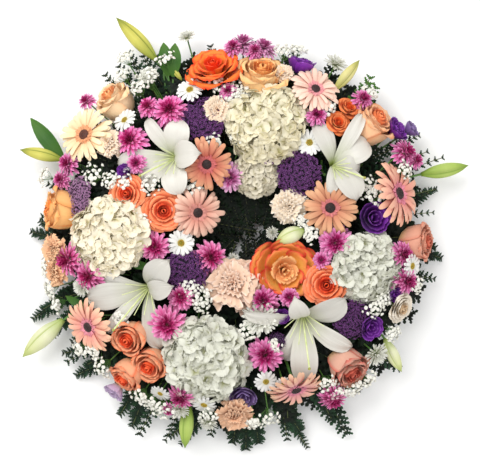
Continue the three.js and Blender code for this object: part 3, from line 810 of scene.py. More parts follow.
# Lily leaves: glossy, dark, with parallel veins.
LEAF_SKIN = petal_skin("glossy lily leaf", [(0.0, 0x4F7A2C), (0.5, 0x3A6A26), (1.0, 0x55812E)],
                       variety=0.2, roughness=0.38, sheen=0.0, veins=26.0, relief=0.001)


def throat_of(head):
    """The point where a lily's tepals, pistil and filaments meet."""
    throat = head.behind(LILY_THROAT)
    throat.xy = head.centre.xy
    return throat


def tepal_seats(head, tepals):
    """A seat for each tepal of a lily, turned and sized until its tip lies where it is seen."""
    made = []
    for bearing, length, raised, _ in tepals:
        wanted = math.radians(bearing)
        seat = Head(throat_of(head), head.axis, length * MM, wanted, math.radians(raised))
        for _ in range(8):
            tip = seat.turned() @ Vector((0, LILY_PATH[-1], LILY_ARCH[-1] * MM / seat.radius))
            seat.spin += math.remainder(wanted - math.atan2(tip.y, tip.x), 2 * math.pi)
            seat.radius = length * MM / math.hypot(tip.x, tip.y)
        made.append(seat)
    return made


def pistil_and_filaments(head, end):
    """A long pistil that arches to its end, the knob on it, and six filaments fanned beside it."""
    throat = throat_of(head)
    tip = Vector((end[0] * MM, end[1] * MM, head.centre.z + PISTIL_RISE))
    ahead = Vector((tip.x - throat.x, tip.y - throat.y, 0))

    def strand(end, out, upward, radius):
        """A thin stem from the throat, which reaches its end on its way out and up."""
        axis = (out.normalized() + Vector((0, 0, upward))).normalized()
        return stem(throat, end, axis, radius, False, PISTIL_SKIN)

    made = [strand(tip, ahead, 0.3, 0.0018),
            whorl([Head(tip, head.axis, STIGMA_RADIUS)], BEAD, STIGMA_SKIN, 3, lean=0.5)]
    for degrees in FILAMENT_FAN:
        out = Matrix.Rotation(math.radians(degrees), 3, "Z") @ ahead * (0.62 - abs(degrees) / 300)
        end = throat + out + Vector((0, 0, tip.z - throat.z - FILAMENT_DROP))
        made.append(strand(end, out, 0.4, 0.0009))
    return made


BUD_GIRTH = [0.3, 0.62, 0.9, 1.0, 0.98, 0.8, 0.5, 0.02]
LEAF_SAG = 0.06


def bud(foot, tip, width, skin):
    """A closed bud of six folded tepals, from its foot to its tip."""
    sides, rows = 24, 14
    heights = [j / rows for j in range(rows + 1)]
    girth = smooth_through(BUD_GIRTH, np.array(heights))
    turn = (tip - foot).to_track_quat("Z", "Y").to_matrix()
    points, place = [], []
    for height, radius in zip(heights, girth):
        for k in range(sides):
            angle = 2 * math.pi * k / sides
            fold = 1 - 0.13 * (1 + math.cos(3 * angle)) ** 2 / 2 - 0.02 * math.cos(6 * angle)
            r = 0.5 * width * radius * fold
            points.append(foot + turn @ at_bearing(r, angle, height * (tip - foot).length))
            place.append(((3 * k / sides) % 1, height))
    caps = [tuple(range(sides - 1, -1, -1)), tuple(rows * sides + k for k in range(sides))]
    mesh = mesh_of("bud", points, hoop_faces(rows, sides) + caps, place)
    mesh.materials.append(skin)
    return mesh


def leaf(start, tip, width):
    """A leaf blade that arches from its start to its tip, folded a little along its midrib."""
    across, along = 4, 8
    ahead = tip - start
    side = ahead.cross(Vector((0, 0, 1))).normalized()
    up = side.cross(ahead).normalized()
    points, place = [], []
    for j in range(along + 1):
        v = j / along
        half = 0.5 * width * max(math.sin(math.pi * min(v * 0.94 + 0.05, 1)) ** 0.8, 0.02)
        arch = LEAF_SAG * ahead.length * math.sin(math.pi * v)
        for i in range(across + 1):
            u = 2 * i / across - 1
            points.append(start + ahead * v + side * (half * u) + up * (arch + 0.3 * half * u * u))
            place.append(((u + 1) / 2, v))
    mesh = mesh_of("leaf", points, sheet_faces(along, across), place)
    mesh.materials.append(LEAF_SKIN)
    return mesh


# Each bud's node or flower, its foot, its tip and its width (mm), and its skin.
LILY_BUDS = {
    "lily_upper_left": [((-176, 362, 62), (-258, 448, 74), 34, "yellow green"),
                        ((-148, 352, 62), (-122, 318, 76), 12, "yellow green")],
    "lily_upper_right": [((184, 298, 96), (233, 356, 112), 25, "cream")],
    "lily_lower_right": [((288, -204, 78), (322, -272, 78), 28, "opening")],
    "lily_lower_left": [((-368, -168, 56), (-451, -244, 58), 40, "opening")],
    "lily_bud_left": [((-370, 160, 60), (-456, 180, 62), 28, "yellow green")],
    "lily_bud_right": [((364, 130, 62), (461, 148, 62), 32, "green")],
    "lily_bud_bottom": [((-110, -338, 74), (-118, -428, 70), 32, "green")],
    "lily_bud_inner": [((123, 16, 106), (65, -8, 112), 36, "opening")],
}
# Leaves left on the lilies' stems: foot, tip and width (mm).
LILY_LEAVES = {
    "lily_upper_left": [((-152, 330, 66), (-162, 398, 66), 30),
                        ((-142, 328, 70), (-138, 396, 72), 30)],
    "lily_bud_left": [((-366, 158, 56), (-436, 246, 50), 32)],
    "lily_lower_left": [((-186, -60, 110), (-240, -44, 116), 18),
                        ((-306, -150, 84), (-362, -118, 66), 18)],
}
STEM_IN_BUD = 0.004


def in_metres(*points):
    """Points given in millimetres."""
    return [Vector(point) * MM for point in points]


for seed, node, heads in blooms_of("lily", 31, 18, -0.3, ring=0.291):
    foot = foot_of(node)
    meshes = [main_stem(foot, STEM_RADII["lily"])]
    for head in heads:
        tepals = LILY_TEPALS[node]
        for k, seat in enumerate(tepal_seats(head, tepals)):
            meshes.append(whorl([seat], tepal(tepals[k][3], seat.radius), LILY_SKIN, 1,
                                turn_spread=0.0, size_spread=0.0, seed=seed * 7 + k))
        meshes.append(stem(foot, head.behind(LILY_THROAT + 0.05), head.axis, STEM_RADII["lily"],
                           True))
        meshes += pistil_and_filaments(head, LILY_PISTILS[node])
    for start, tip, width, kind in LILY_BUDS[node]:
        start, tip = in_metres(start, tip)
        ahead = (tip - start).normalized()
        meshes += [stem(foot, start + ahead * STEM_IN_BUD, ahead, STEM_RADII["bud"], True),
                   bud(start, tip, width * MM, BUD_SKINS[kind])]
    for start, tip, width in LILY_LEAVES.get(node, []):
        start, tip = in_metres(start, tip)
        meshes += [stem(foot, start, (tip - start).normalized(), STEM_RADII["mum"], True),
                   leaf(start, tip, width * MM)]
    settle(node + "_flower", meshes, "lily_white" if heads else "bud_green", node)


# ------------------------------------------------------------------ gerberas
# Gerbera daisies in peach, cream and salmon: two rows of long ray petals, a fringe of short ones
# and a tight eye of tiny florets on a green cup, each on a bare hollow stem.

GERBERA_LOOKS = {
    # node: ray foot, ray tip, fringe, eye
    "gerbera_pale_left": (0xF6CC9A, 0xFAE6BE, 0xF0A878, 0x6A3420),
    "gerbera_coral_upper": (0xBC5648, 0xDEA07C, 0xD06C6A, 0x1E0E12),
    "gerbera_cream_inner": (0xD48A78, 0xEEC4AE, 0xDC9488, 0x1E1014),
    "gerbera_apricot_right": (0xC67C5E, 0xDEAA82, 0xD67C7A, 0x140A10),
    "gerbera_salmon_right": (0xE08A80, 0xF0B89C, 0xEC8CA0, 0x160C10),
    "gerbera_pale_top": (0xF4C0AE, 0xFAD6C2, 0xEC9CA0, 0x301A1C),
    "gerbera_peach_bottom": (0xE09498, 0xE8B898, 0xE68AA0, 0x1A0C12),
    "gerbera_peach_left": (0xEC988C, 0xF6C2A2, 0xF098A6, 0x281418),
}
RAY = petal("ray petal", [0.12, 0.4, 0.72, 0.95, 1.0], [-0.04, 0.05, 0.08, 0.01, -0.05],
            [0.03, 0.075, 0.1, 0.075, 0.015], across=4, along=7, cup=-0.3, fold=0.15)
FRINGE = petal("fringe petal", [0.18, 0.3, 0.38], [0.02, 0.06, 0.05], [0.02, 0.036, 0.012],
               across=2, along=3)
GERBERA_CUP = turned_pattern("gerbera cup", [(0, -0.36), (0.2, -0.3), (0.34, -0.08), (0.2, 0.0),
                                             (0, 0.0)], 12)
EYE_CAP = turned_pattern("eye cap", [(0, -0.06), (0.21, 0.02), (0.18, 0.11), (0, 0.15)], 12)
FULLNESS = 1.06  # open petals reach a little past the bloom's radius
# Gerberas that face up more than their stems' lean would have them (degrees).
GERBERA_TIPS = {"gerbera_salmon_right": -12, "gerbera_peach_left": -6}
FLORET_CONE = turned_pattern("disc floret", [(0, -0.6), (0.42, -0.4), (0.5, 0.2), (0, 0.5)], 5)

# Green bracts and calyces behind the blooms: matt, slightly hairy.
CALYX_SKIN = mottled("green bracts", 0x4C7A34, 0x7BA04E, 4, 0.65, 0.8, 0.0005)

for seed, node, heads in blooms_of("gerbera", 51, 12, 0.07):
    foot_colour, tip_colour, fringe, eye = GERBERA_LOOKS[node]
    # Gerbera rays: satin petals with fine lengthwise grooves, deeper in colour at the foot.
    rays = petal_skin(node + " rays", [(0.2, foot_colour), (0.7, tip_colour), (1.0, tip_colour)],
                      variety=0.12, veins=7.0, relief=0.0008)
    # Gerbera fringe: the short petals round the eye, in the ring's own colour.
    ring = petal_skin(node + " fringe", [(0.0, fringe), (1.0, fringe)], variety=0.2)
    # Gerbera eye: packed florets, not yet open.
    disc = mottled(node + " eye", eye, 0x3C2420, 1.5, 0.6, 0.8, 0.0006)
    heads = [head.tipped(GERBERA_TIPS.get(node, 0), 0.0, FULLNESS) for head in heads]
    flower(node, heads, [
        single(heads, GERBERA_CUP, CALYX_SKIN),
        whorl(heads, RAY, rays, 21, lean=-0.05, lean_spread=0.08, turn_spread=0.08, size=1.02,
              size_spread=0.09, seed=seed),
        whorl(heads, RAY, rays, 17, lean=0.1, lean_spread=0.1, turn_spread=0.1, size=0.9,
              size_spread=0.1, seed=seed + 1, height=0.01),
        whorl(heads, FRINGE, ring, 34, lean=0.02, lean_spread=0.08, size_spread=0.12, height=0.02,
              seed=seed + 2),
        whorl(heads, FRINGE, ring, 28, lean=0.14, lean_spread=0.08, size=0.86, height=0.02,
              seed=seed + 3),
        single(heads, EYE_CAP, disc),
        dome(heads, FLORET_CONE, disc, 80, 0.042, width=0.2, height=0.15, seed=seed),
    ])


# ------------------------------------------------------------------ roses
# Roses in orange, peach and salmon, some two-coloured: petals wrapped in a spiral from a tight
# heart out to reflexed guard petals, on a green calyx with five sepals.

ROSE_LOOKS = {
    # node: heart petals, guard petals, their rims, how far the rims' colour reaches in, form
    "rose_bicolour_inner": (0xFFC080, 0xFFC25C, 0xF24A40, 0.52, "bowl"),
    "rose_bicolour_top": (0xFF4C1E, 0xFF943C, 0xFC4824, 0.4, "open"),
    "rose_peach_top": (0xFFB068, 0xFFD094, 0xFFC280, 0.2, "goblet"),
    "rose_orange_right": (0xF48C58, 0xFAC498, 0xF8AC7C, 0.25, "goblet"),
    "rose_spray_upper_right": (0xF4662C, 0xF68E54, 0xF07C44, 0.3, "open"),
    "rose_salmon_edge": (0xD87058, 0xE6A68C, 0xE08E74, 0.25, "goblet"),
    "rose_salmon_lower": (0xC85E4C, 0xDEAA94, 0xD86A5C, 0.24, "goblet"),
    "rose_garden_orange": (0xF8582C, 0xFF8858, 0xFFA47C, 0.3, "open"),
    "rose_spray_lower_left": (0xFF6A3C, 0xF6B48C, 0xFA8C60, 0.3, "goblet"),
    "rose_spray_left": (0xFC6438, 0xFF9060, 0xFFA074, 0.3, "open"),
    "rose_edge_left": (0xFC9248, 0xFFC27C, 0xFFA860, 0.22, "goblet"),
    "rose_upper_left": (0xFFB478, 0xFFDCB0, 0xFFCC9A, 0.22, "goblet"),
    "rose_cream_right": (0xE8CCA8, 0xE8DCCA, 0xEAE0D0, 0.3, "open"),
}
# Roses seen from the side: how much further out they lean than their stems do (degrees), and
# how full they are beside the others.
ROSE_TIPS = {"rose_peach_top": (4, 1.36), "rose_orange_right": (6, 1.18),
             "rose_salmon_edge": (10, 1.12), "rose_salmon_lower": (4, 1.12),
             "rose_edge_left": (8, 1.18), "rose_upper_left": (-8, 1.2)}
ROSE_FORMS = {
    # for each layer of petals: how many, their distance from the axis and height from foot to
    # rim, and the half-angle that each covers
    "open": [
        (2, [0.02, 0.08, 0.11, 0.1, 0.05], [-0.6, -0.2, 0.08, 0.2, 0.22],
         [2.2, 2.3, 2.2, 1.8, 0.9]),
        (3, [0.03, 0.13, 0.18, 0.19, 0.18], [-0.62, -0.22, 0.08, 0.2, 0.22],
         [1.3, 1.4, 1.3, 1.0, 0.3]),
        (3, [0.03, 0.2, 0.28, 0.31, 0.34], [-0.64, -0.25, 0.06, 0.2, 0.2],
         [1.2, 1.3, 1.2, 0.9, 0.3]),
        (4, [0.04, 0.28, 0.41, 0.48, 0.53], [-0.66, -0.28, 0.03, 0.17, 0.14],
         [0.9, 1.0, 1.0, 0.8, 0.2]),
        (4, [0.04, 0.36, 0.55, 0.66, 0.74], [-0.7, -0.32, -0.02, 0.12, 0.06],
         [0.9, 0.95, 0.9, 0.7, 0.15]),
        (5, [0.05, 0.42, 0.68, 0.84, 0.92], [-0.75, -0.38, -0.09, 0.05, -0.03],
         [0.85, 0.85, 0.8, 0.62, 0.12]),
        (5, [0.05, 0.48, 0.76, 0.98, 1.05], [-0.8, -0.46, -0.2, -0.1, -0.2],
         [0.8, 0.8, 0.72, 0.56, 0.1]),
    ],
    "bowl": [
        (3, [0.02, 0.08, 0.12, 0.12, 0.06], [-0.5, -0.1, 0.04, 0.12, 0.14],
         [1.6, 1.7, 1.6, 1.3, 0.6]),
        (4, [0.03, 0.12, 0.2, 0.24, 0.24], [-0.5, -0.2, 0.0, 0.12, 0.12],
         [0.9, 1.0, 1.0, 0.8, 0.3]),
        (4, [0.03, 0.2, 0.34, 0.42, 0.46], [-0.55, -0.25, -0.04, 0.12, 0.1],
         [0.8, 0.95, 1.0, 0.8, 0.25]),
        (4, [0.04, 0.3, 0.52, 0.64, 0.7], [-0.6, -0.35, -0.1, 0.12, 0.12],
         [0.85, 1.0, 1.0, 0.85, 0.3]),
        (5, [0.04, 0.4, 0.7, 0.86, 0.92], [-0.65, -0.45, -0.17, 0.05, 0.02],
         [0.75, 0.85, 0.85, 0.7, 0.25]),
        (5, [0.05, 0.48, 0.82, 1.02, 1.08], [-0.7, -0.52, -0.28, -0.1, -0.16],
         [0.75, 0.8, 0.78, 0.62, 0.2]),
    ],
    "goblet": [
        (2, [0.02, 0.09, 0.13, 0.12, 0.05], [-0.7, -0.2, 0.15, 0.3, 0.33],
         [2.2, 2.3, 2.2, 1.8, 0.9]),
        (3, [0.03, 0.16, 0.22, 0.22, 0.19], [-0.75, -0.25, 0.12, 0.29, 0.32],
         [1.3, 1.4, 1.3, 1.0, 0.3]),
        (3, [0.04, 0.25, 0.33, 0.33, 0.34], [-0.85, -0.3, 0.08, 0.27, 0.29],
         [1.2, 1.3, 1.2, 0.9, 0.3]),
        (4, [0.04, 0.38, 0.47, 0.47, 0.52], [-1.0, -0.5, 0.0, 0.24, 0.25],
         [0.9, 1.0, 1.0, 0.8, 0.2]),
        (4, [0.06, 0.5, 0.64, 0.63, 0.74], [-1.15, -0.75, -0.15, 0.18, 0.14],
         [0.9, 1.0, 0.95, 0.75, 0.15]),
        (4, [0.08, 0.6, 0.8, 0.8, 0.98], [-1.25, -0.95, -0.35, 0.08, 0.0],
         [0.95, 1.05, 1.0, 0.75, 0.12]),
    ],
}
ROSE_HEART_LAYERS = 3
ROSE_RUFFLES = {"open": 0.02, "bowl": 0.06, "goblet": 0.02}
ROSE_UNREST = {"open": 0.04, "bowl": 0.11, "goblet": 0.04}
ROSE_PETALS = {
    form: [petal("%s rose petal %d" % (form, k), reach, rise, angle, across=8, along=9,
                 wrapped=True, cup=-0.05, ruffle=ROSE_RUFFLES[form] + 0.006 * k, waves=2)
           for k, (_, reach, rise, angle) in enumerate(layers)]
    for form, layers in ROSE_FORMS.items()}
ROSE_CALYX = turned_pattern("rose calyx", [(0, -0.92), (0.12, -0.88), (0.2, -0.76), (0.12, -0.66),
                                           (0, -0.64)], 10)
SEPAL_STRIP = petal("calyx sepal", [0.08, 0.3, 0.5, 0.62], [-0.8, -0.72, -0.6, -0.62],
                    [0.08, 0.1, 0.06, 0.01], across=2, along=4)
ROSE_STEP = math.radians(137.5)

for seed, node, heads in blooms_of("rose", 71, 10, 0.2):
    heart, guard, rim, share, form = ROSE_LOOKS[node]
    lean, fullness = ROSE_TIPS.get(node, (0, FULLNESS))
    heads = [head.tipped(lean, 0.4, fullness) for head in heads]
    # Rose petals: velvety, the guard petals with a rim of their own colour. Every petal turns paler
    # and yellower at the foot: partly the rose's own colour, partly painted light for the glow
    # through thin petals deep in the folds.
    velvet = {"roughness": 0.55, "sheen": 0.08, "veins": 16.0}
    skins = [petal_skin(node + " heart petals", [(0.0, guard), (0.4, heart), (1.0, heart)],
                        variety=0.14, **velvet),
             petal_skin(node + " guard petals", [(0.0, 0xE8C86A), (0.4, guard), (1.0, guard)],
                        edge=rim, edge_share=share, variety=0.12, **velvet)]
    meshes = []
    for i, head in enumerate(heads):
        for layer, (count, *_) in enumerate(ROSE_FORMS[form]):
            outward = layer / (len(ROSE_FORMS[form]) - 1)
            turned = Head(head.centre, head.axis, head.radius, head.spin + layer * ROSE_STEP)
            meshes.append(whorl(
                [turned], ROSE_PETALS[form][layer], skins[layer >= ROSE_HEART_LAYERS], count,
                lean=-0.03, lean_spread=ROSE_UNREST[form] + 0.1 * outward, turn_spread=0.15,
                size_spread=ROSE_UNREST[form] + 0.01, seed=seed * 10 + layer + i * 3))
    meshes += [single(heads, ROSE_CALYX, CALYX_SKIN),
               whorl(heads, SEPAL_STRIP, CALYX_SKIN, 5, lean_spread=0.1, seed=seed)]
    flower(node, heads, meshes)


# ------------------------------------------------------------------ carnations
# Peach and cream carnations: crowded fan-shaped petals with toothed rims, squeezed out of a long
# green calyx tube.

CARNATION_LOOKS = {
    "carnation_inner": (0xEECAB0, 0xF8E0D0), "carnation_cream_right": (0xF0DCC2, 0xFAF0E4),
    "carnation_spray_left": (0xF2BE94, 0xFAD4AC),
}
CARNATION_TIPS = {"carnation_spray_left": -14}
CARNATION_FULLNESS = 1.08
FAN = petal("carnation petal", [0.04, 0.3, 0.68, 0.94, 1.0], [-0.5, -0.12, 0.1, 0.08, 0.04],
            [0.04, 0.2, 0.5, 0.68, 0.6], across=14, along=6, cup=-0.12, ruffle=0.1, waves=4)
CARNATION_TUBE = turned_pattern("carnation tube", [
    (0, -1.1), (0.16, -1.05), (0.24, -0.75), (0.26, -0.4), (0.16, -0.2), (0, -0.2)], 10)


# For each row of petals, from the guards in to the heart: how many, their size and their lean.
CARNATION_ROWS = [(8, 1.04, -0.3), (8, 0.98, -0.05), (9, 0.88, 0.16), (9, 0.76, 0.4),
                  (9, 0.66, 0.68), (8, 0.56, 0.98), (7, 0.48, 1.3)]


def carnation_meshes(heads, skin, seed):
    """The crumpled petals and the calyx of carnations."""
    return [whorl(heads, FAN, skin, count, step=GOLDEN_ANGLE, lean=lean, lean_spread=0.28,
                  turn_spread=0.9, size=size, size_spread=0.16, height=-0.02 * k, seed=seed + k)
            for k, (count, size, lean) in enumerate(CARNATION_ROWS)] + [
        single(heads, CARNATION_TUBE, CALYX_SKIN)]


def carnation_skin(name, body, rim):
    """Carnation petals: matt and papery, paler at the toothed rim."""
    return petal_skin(name, [(0.0, 0xD9C98A), (0.4, body), (1.0, body)], edge=rim, edge_share=0.2,
                      variety=0.14, roughness=0.7, veins=20.0)


for seed, node, heads in blooms_of("carnation", 211, 9, 0.22):
    heads = [head.tipped(CARNATION_TIPS.get(node, 0), 0.6, CARNATION_FULLNESS) for head in heads]
    skin = carnation_skin(node + " petals", *CARNATION_LOOKS[node])
    flower(node, heads, carnation_meshes(heads, skin, seed))


# Small carnations that fill the gaps: petals, rims, and their places and radii (mm).
SMALL_CARNATIONS = {
    "cream": (0xF2D8BC, 0xFBF0E2, [(-52, 256, 25), (-268, 190, 27), (82, 330, 18)]),
    "peach": (0xE0B08E, 0xF0CCAE, [(-16, -356, 33)]),
}
for seed, (tint, (body, rim, places)) in enumerate(SMALL_CARNATIONS.items(), 221):
    heads = on_cushion(places, lift=4, seed=seed, tilt=0.6)
    skin = carnation_skin("small %s carnation petals" % tint, body, rim)
    small_flowers("small_carnations_" + tint, heads, "carnation",
                  carnation_meshes(heads, skin, seed))


# ------------------------------------------------------------------ spray chrysanthemums
# Magenta spray chrysanthemums: many rows of narrow rays that shorten towards a tight green-pink
# heart, several heads to a forked stem.

MUM_ROWS = 8
MUM_INNER_ROWS = 3
MUM_RAY = petal("chrysanthemum ray", [0.1, 0.45, 0.85, 1.0], [-0.1, 0.03, 0.06, 0.05],
                [0.03, 0.085, 0.1, 0.02], across=2, along=4, cup=0.6)
# For each spray: the heart of its blooms, the rays and their pale tips.
MUM_TINTS = {
    "mum_spray_top": (0xB44C86, 0xD88CBE, 0xF4C0DE),
    "mum_spray_upper_left": (0xBA1E68, 0xE85CA6, 0xFAA4D6),
    "mum_spray_left": (0xB01C60, 0xE25A9E, 0xF8A6D2),
    "mum_spray_bottom": (0xA61C5E, 0xDA5A9E, 0xF4A2D0),
    "mum_spray_right": (0xAC2066, 0xDE60A6, 0xF6AAD6),
}
MUM_CUP = turned_pattern("chrysanthemum cup", [
    (0, -0.42), (0.2, -0.36), (0.34, -0.12), (0, -0.05)], 8)


def mum_meshes(heads, skins, seed):
    """The rays and cup of spray chrysanthemums, from the drooping outer rays in to the heart."""
    rows = [whorl(heads, MUM_RAY, skins[k >= MUM_ROWS - MUM_INNER_ROWS], 18 - k,
                  lean=-0.55 + 0.26 * k, lean_spread=0.16, turn_spread=0.16, size=1.12 - 0.075 * k,
                  size_spread=0.14, height=0.01 * k, seed=seed + k) for k in range(MUM_ROWS)]
    return rows + [single(heads, MUM_CUP, CALYX_SKIN)]


def mum_skins(name, heart, ray, tip):
    """Chrysanthemum rays: satin, deep at the foot and paler at the edges and the tip."""
    return [petal_skin(name + " rays", [(0.0, heart), (0.45, ray), (1.0, tip)], edge=tip,
                       edge_share=0.3, variety=0.2, veins=5.0),
            petal_skin(name + " heart", [(0.0, heart), (0.6, heart), (1.0, ray)], variety=0.25,
                       veins=5.0)]


for seed, node, heads in blooms_of("mum", 231, 8, 0.22):
    skins = mum_skins(node, *MUM_TINTS[node])
    flower(node, heads, mum_meshes(heads, skins, seed))


# Small chrysanthemums that fill the gaps: place and radius (mm).
SMALL_MUMS = [(-318, 278, 18), (-352, 150, 24), (-366, 118, 20), (156, -44, 18), (348, 156, 18),
              (240, 278, 22), (146, 244, 22), (-30, 292, 18), (92, -118, 20), (-20, 384, 20),
              (24, 376, 18), (-212, 148, 20), (-150, -346, 14)]
heads = on_cushion(SMALL_MUMS, lift=8, seed=5, tilt=0.8)
small_flowers("small_chrysanthemums", heads, "mum", mum_meshes(
    heads, mum_skins("small chrysanthemum", 0xB02068, 0xDE60A6, 0xF6ACD8), 241))


# ------------------------------------------------------------------ daisies
# White spray daisies with a yellow eye and two rows of flat rays each, and among them white
# spider chrysanthemums with rows of thin hooked rays.

DAISY_RAY = petal("daisy ray", [0.16, 0.5, 0.88, 1.0], [0.0, 0.04, 0.02, -0.02],
                  [0.05, 0.12, 0.13, 0.05], across=2, along=4, cup=0.2)
SPIDER_RAY = petal("spider ray", [0.06, 0.5, 0.88, 1.0], [-0.02, 0.06, 0.08, 0.16],
                   [0.03, 0.06, 0.075, 0.03], across=2, along=6, cup=0.6)

# Daisy rays: white, satin, faintly grooved.
DAISY_SKIN = petal_skin("white daisy rays", [(0.0, 0xD9DCB8), (0.3, 0xEAE9E4), (1.0, 0xEDECE8)],
                        variety=0.08, veins=6.0)
# Daisy eye: packed golden florets, browner in the middle.
DAISY_EYE = mottled("golden disc florets", 0x9A7A1C, 0xDDBE3C, 1.2, 0.7, 0.8, 0.0006)
# Spider rays: white with green feet.
SPIDER_SKIN = petal_skin("white spider rays", [(0.0, 0xB4C67A), (0.35, 0xE6E6D8), (1.0, 0xECEBE5)],
                         variety=0.1, veins=5.0)


def daisy_meshes(heads, seed):
    """Two rows of rays, the eye and the cup of daisies."""
    return [
        whorl(heads, DAISY_RAY, DAISY_SKIN, 16, lean=-0.02, lean_spread=0.07, seed=seed),
        whorl(heads, DAISY_RAY, DAISY_SKIN, 13, lean=0.1, lean_spread=0.08, size=0.92,
              seed=seed + 1),
        dome(heads, FLORET_CONE, DAISY_EYE, 60, 0.07, width=0.26, height=0.14, seed=seed),
        single(heads, MUM_CUP, CALYX_SKIN, 0.8),
    ]


def spider_meshes(heads, seed):
    """Rows of thin rays with hooked tips, round a green heart."""
    rows = [whorl(heads, SPIDER_RAY, SPIDER_SKIN, 22 - 2 * k, lean=0.02 + 0.27 * k,
                  lean_spread=0.16, turn_spread=0.14, size=1.0 - 0.1 * k, size_spread=0.1,
                  seed=seed + k) for k in range(5)]
    return rows + [single(heads, MUM_CUP, CALYX_SKIN, 0.8)]


SAME_BLOOM = 0.02  # how near a head lies to the place given for it


def apart(heads, place):
    """The heads away from a place, and the ones at it."""
    there = [head for head in heads if (head.centre - Vector(place)).length < SAME_BLOOM]
    return [head for head in heads if head not in there], there


SPIDER_AT, SPIDER_FULLNESS = (0.036, -0.160, 0.13), 1.25
for seed, node, heads in blooms_of("daisy", 251, 8, 0.12):
    daisies, spiders = apart(heads, SPIDER_AT)
    spiders = [head.tipped(0, 0.0, SPIDER_FULLNESS) for head in spiders]
    flower(node, heads, daisy_meshes(daisies, seed) + (
        spider_meshes(spiders, seed) if spiders else []))


# Small daisies and spider chrysanthemums that fill the gaps: place and radius (mm).
SMALL_DAISIES = [(338, -56, 26), (80, -290, 16)]
heads = on_cushion(SMALL_DAISIES, lift=8, seed=7)
small_flowers("small_daisies", heads, "daisy", daisy_meshes(heads, 261))
SMALL_SPIDERS = [(-114, 408, 20), (188, 352, 26), (-322, -98, 20), (266, -232, 26), (-190, 322, 24),
                 (-128, -344, 22), (-70, -372, 20), (-20, -44, 14), (24, -54, 12), (60, 10, 14)]
heads = on_cushion(SMALL_SPIDERS, lift=4, seed=9, tilt=0.8)
small_flowers("small_spider_chrysanthemums", heads, "daisy", spider_meshes(heads, 265))


# ------------------------------------------------------------------ lisianthus
# Deep purple lisianthus, with one lavender: ruffled bell-shaped blooms of broad overlapping
# petals round a yellow-green heart.

LISIANTHUS_ROWS = [
    (5, [0.04, 0.5, 0.86, 0.98, 1.0], [-0.9, -0.55, -0.02, 0.22, 0.26], [0.7, 0.8, 0.78, 0.6, 0.3]),
    (5, [0.04, 0.38, 0.66, 0.76, 0.78], [-0.85, -0.5, 0.0, 0.26, 0.32], [0.7, 0.8, 0.8, 0.62, 0.3]),
    (4, [0.04, 0.24, 0.44, 0.5, 0.48], [-0.8, -0.5, -0.04, 0.24, 0.32], [0.9, 1.0, 0.95, 0.7, 0.3]),
    (3, [0.04, 0.12, 0.24, 0.27, 0.24], [-0.75, -0.5, -0.08, 0.18, 0.26],
     [1.1, 1.2, 1.1, 0.8, 0.3]),
]
LISIANTHUS_PETALS = [
    petal("lisianthus petal %d" % k, reach, rise, angle, across=8, along=7, wrapped=True,
          cup=-0.06, ruffle=0.05, waves=3)
    for k, (_, reach, rise, angle) in enumerate(LISIANTHUS_ROWS)]
# Lisianthus petals: thin, satin, nearly black in the folds.
LISIANTHUS_SKINS = {
    "purple": petal_skin("purple lisianthus petals", [
        (0.0, 0x300840), (0.5, 0x76289C), (1.0, 0x9A50BA)], variety=0.25, roughness=0.4, sheen=0.1),
    "lilac": petal_skin("pale lilac lisianthus petals", [
        (0.0, 0xC8C49C), (0.4, 0xCDB4D4), (1.0, 0xD2BEDA)], variety=0.12, roughness=0.45),
    "lavender": petal_skin("lavender lisianthus petals", [
        (0.0, 0x523464), (0.5, 0x80609A), (1.0, 0xA48EC0)], variety=0.15, roughness=0.45),
}
LISIANTHUS_CUP = turned_pattern("lisianthus cup", [
    (0, -0.96), (0.1, -0.9), (0.14, -0.8), (0, -0.74)], 8)


def lisianthus_meshes(heads, skin, seed):
    """The rows of petals and the calyx of lisianthus blooms."""
    return [whorl(heads, LISIANTHUS_PETALS[k], skin, count, lean_spread=0.06, turn_spread=0.15,
                  size_spread=0.06, seed=seed + k)
            for k, (count, *_) in enumerate(LISIANTHUS_ROWS)] + [
        single(heads, LISIANTHUS_CUP, CALYX_SKIN),
        whorl(heads, SEPAL_STRIP, CALYX_SKIN, 5, lean_spread=0.1, seed=seed)]


LAVENDER_AT = (0.0, -0.318, 0.121)
for seed, node, heads in blooms_of("lisianthus", 271, 9, -0.05):
    if node == "lisianthus_top":
        heads = [head.tipped(20) for head in heads]
    deep, pale = apart(heads, LAVENDER_AT)
    meshes = lisianthus_meshes(deep, LISIANTHUS_SKINS["purple"], seed)
    if pale:
        meshes += lisianthus_meshes(pale, LISIANTHUS_SKINS["lavender"], seed + 5)
    flower(node, heads, meshes)


# Small lisianthus blooms that fill the gaps: place and radius (mm).
SMALL_LISIANTHUS = {
    "purple": [(78, -156, 16), (304, -114, 16), (52, 158, 14), (-236, 132, 16)],
    "lavender": [(344, 222, 18)],
    "lilac": [(-262, -314, 22)],
}
for seed, (tint, places) in enumerate(SMALL_LISIANTHUS.items(), 281):
    heads = on_cushion(places, lift=6, seed=seed)
    small_flowers("small_lisianthus_" + tint, heads, "lisianthus",
                  lisianthus_meshes(heads, LISIANTHUS_SKINS[tint], seed))


# ------------------------------------------------------------------ trachelium
# Throatwort: flat-topped violet heads of hundreds of tiny five-pointed florets on a branching
# green stem.

TINY_POINT = petal("tiny floret point", [0.05, 0.6, 1.0], [0.0, 0.15, 0.3], [0.2, 0.3, 0.03],
                   across=1, along=2)
TINY_STAR = cross_of(TINY_POINT, 5, 0.35)
TRACHELIUM_CORE = turned_pattern("trachelium core", [
    (0, -0.66), (0.5, -0.3), (0.88, -0.1), (0.8, 0.02), (0.45, 0.1), (0, 0.12)], 14)
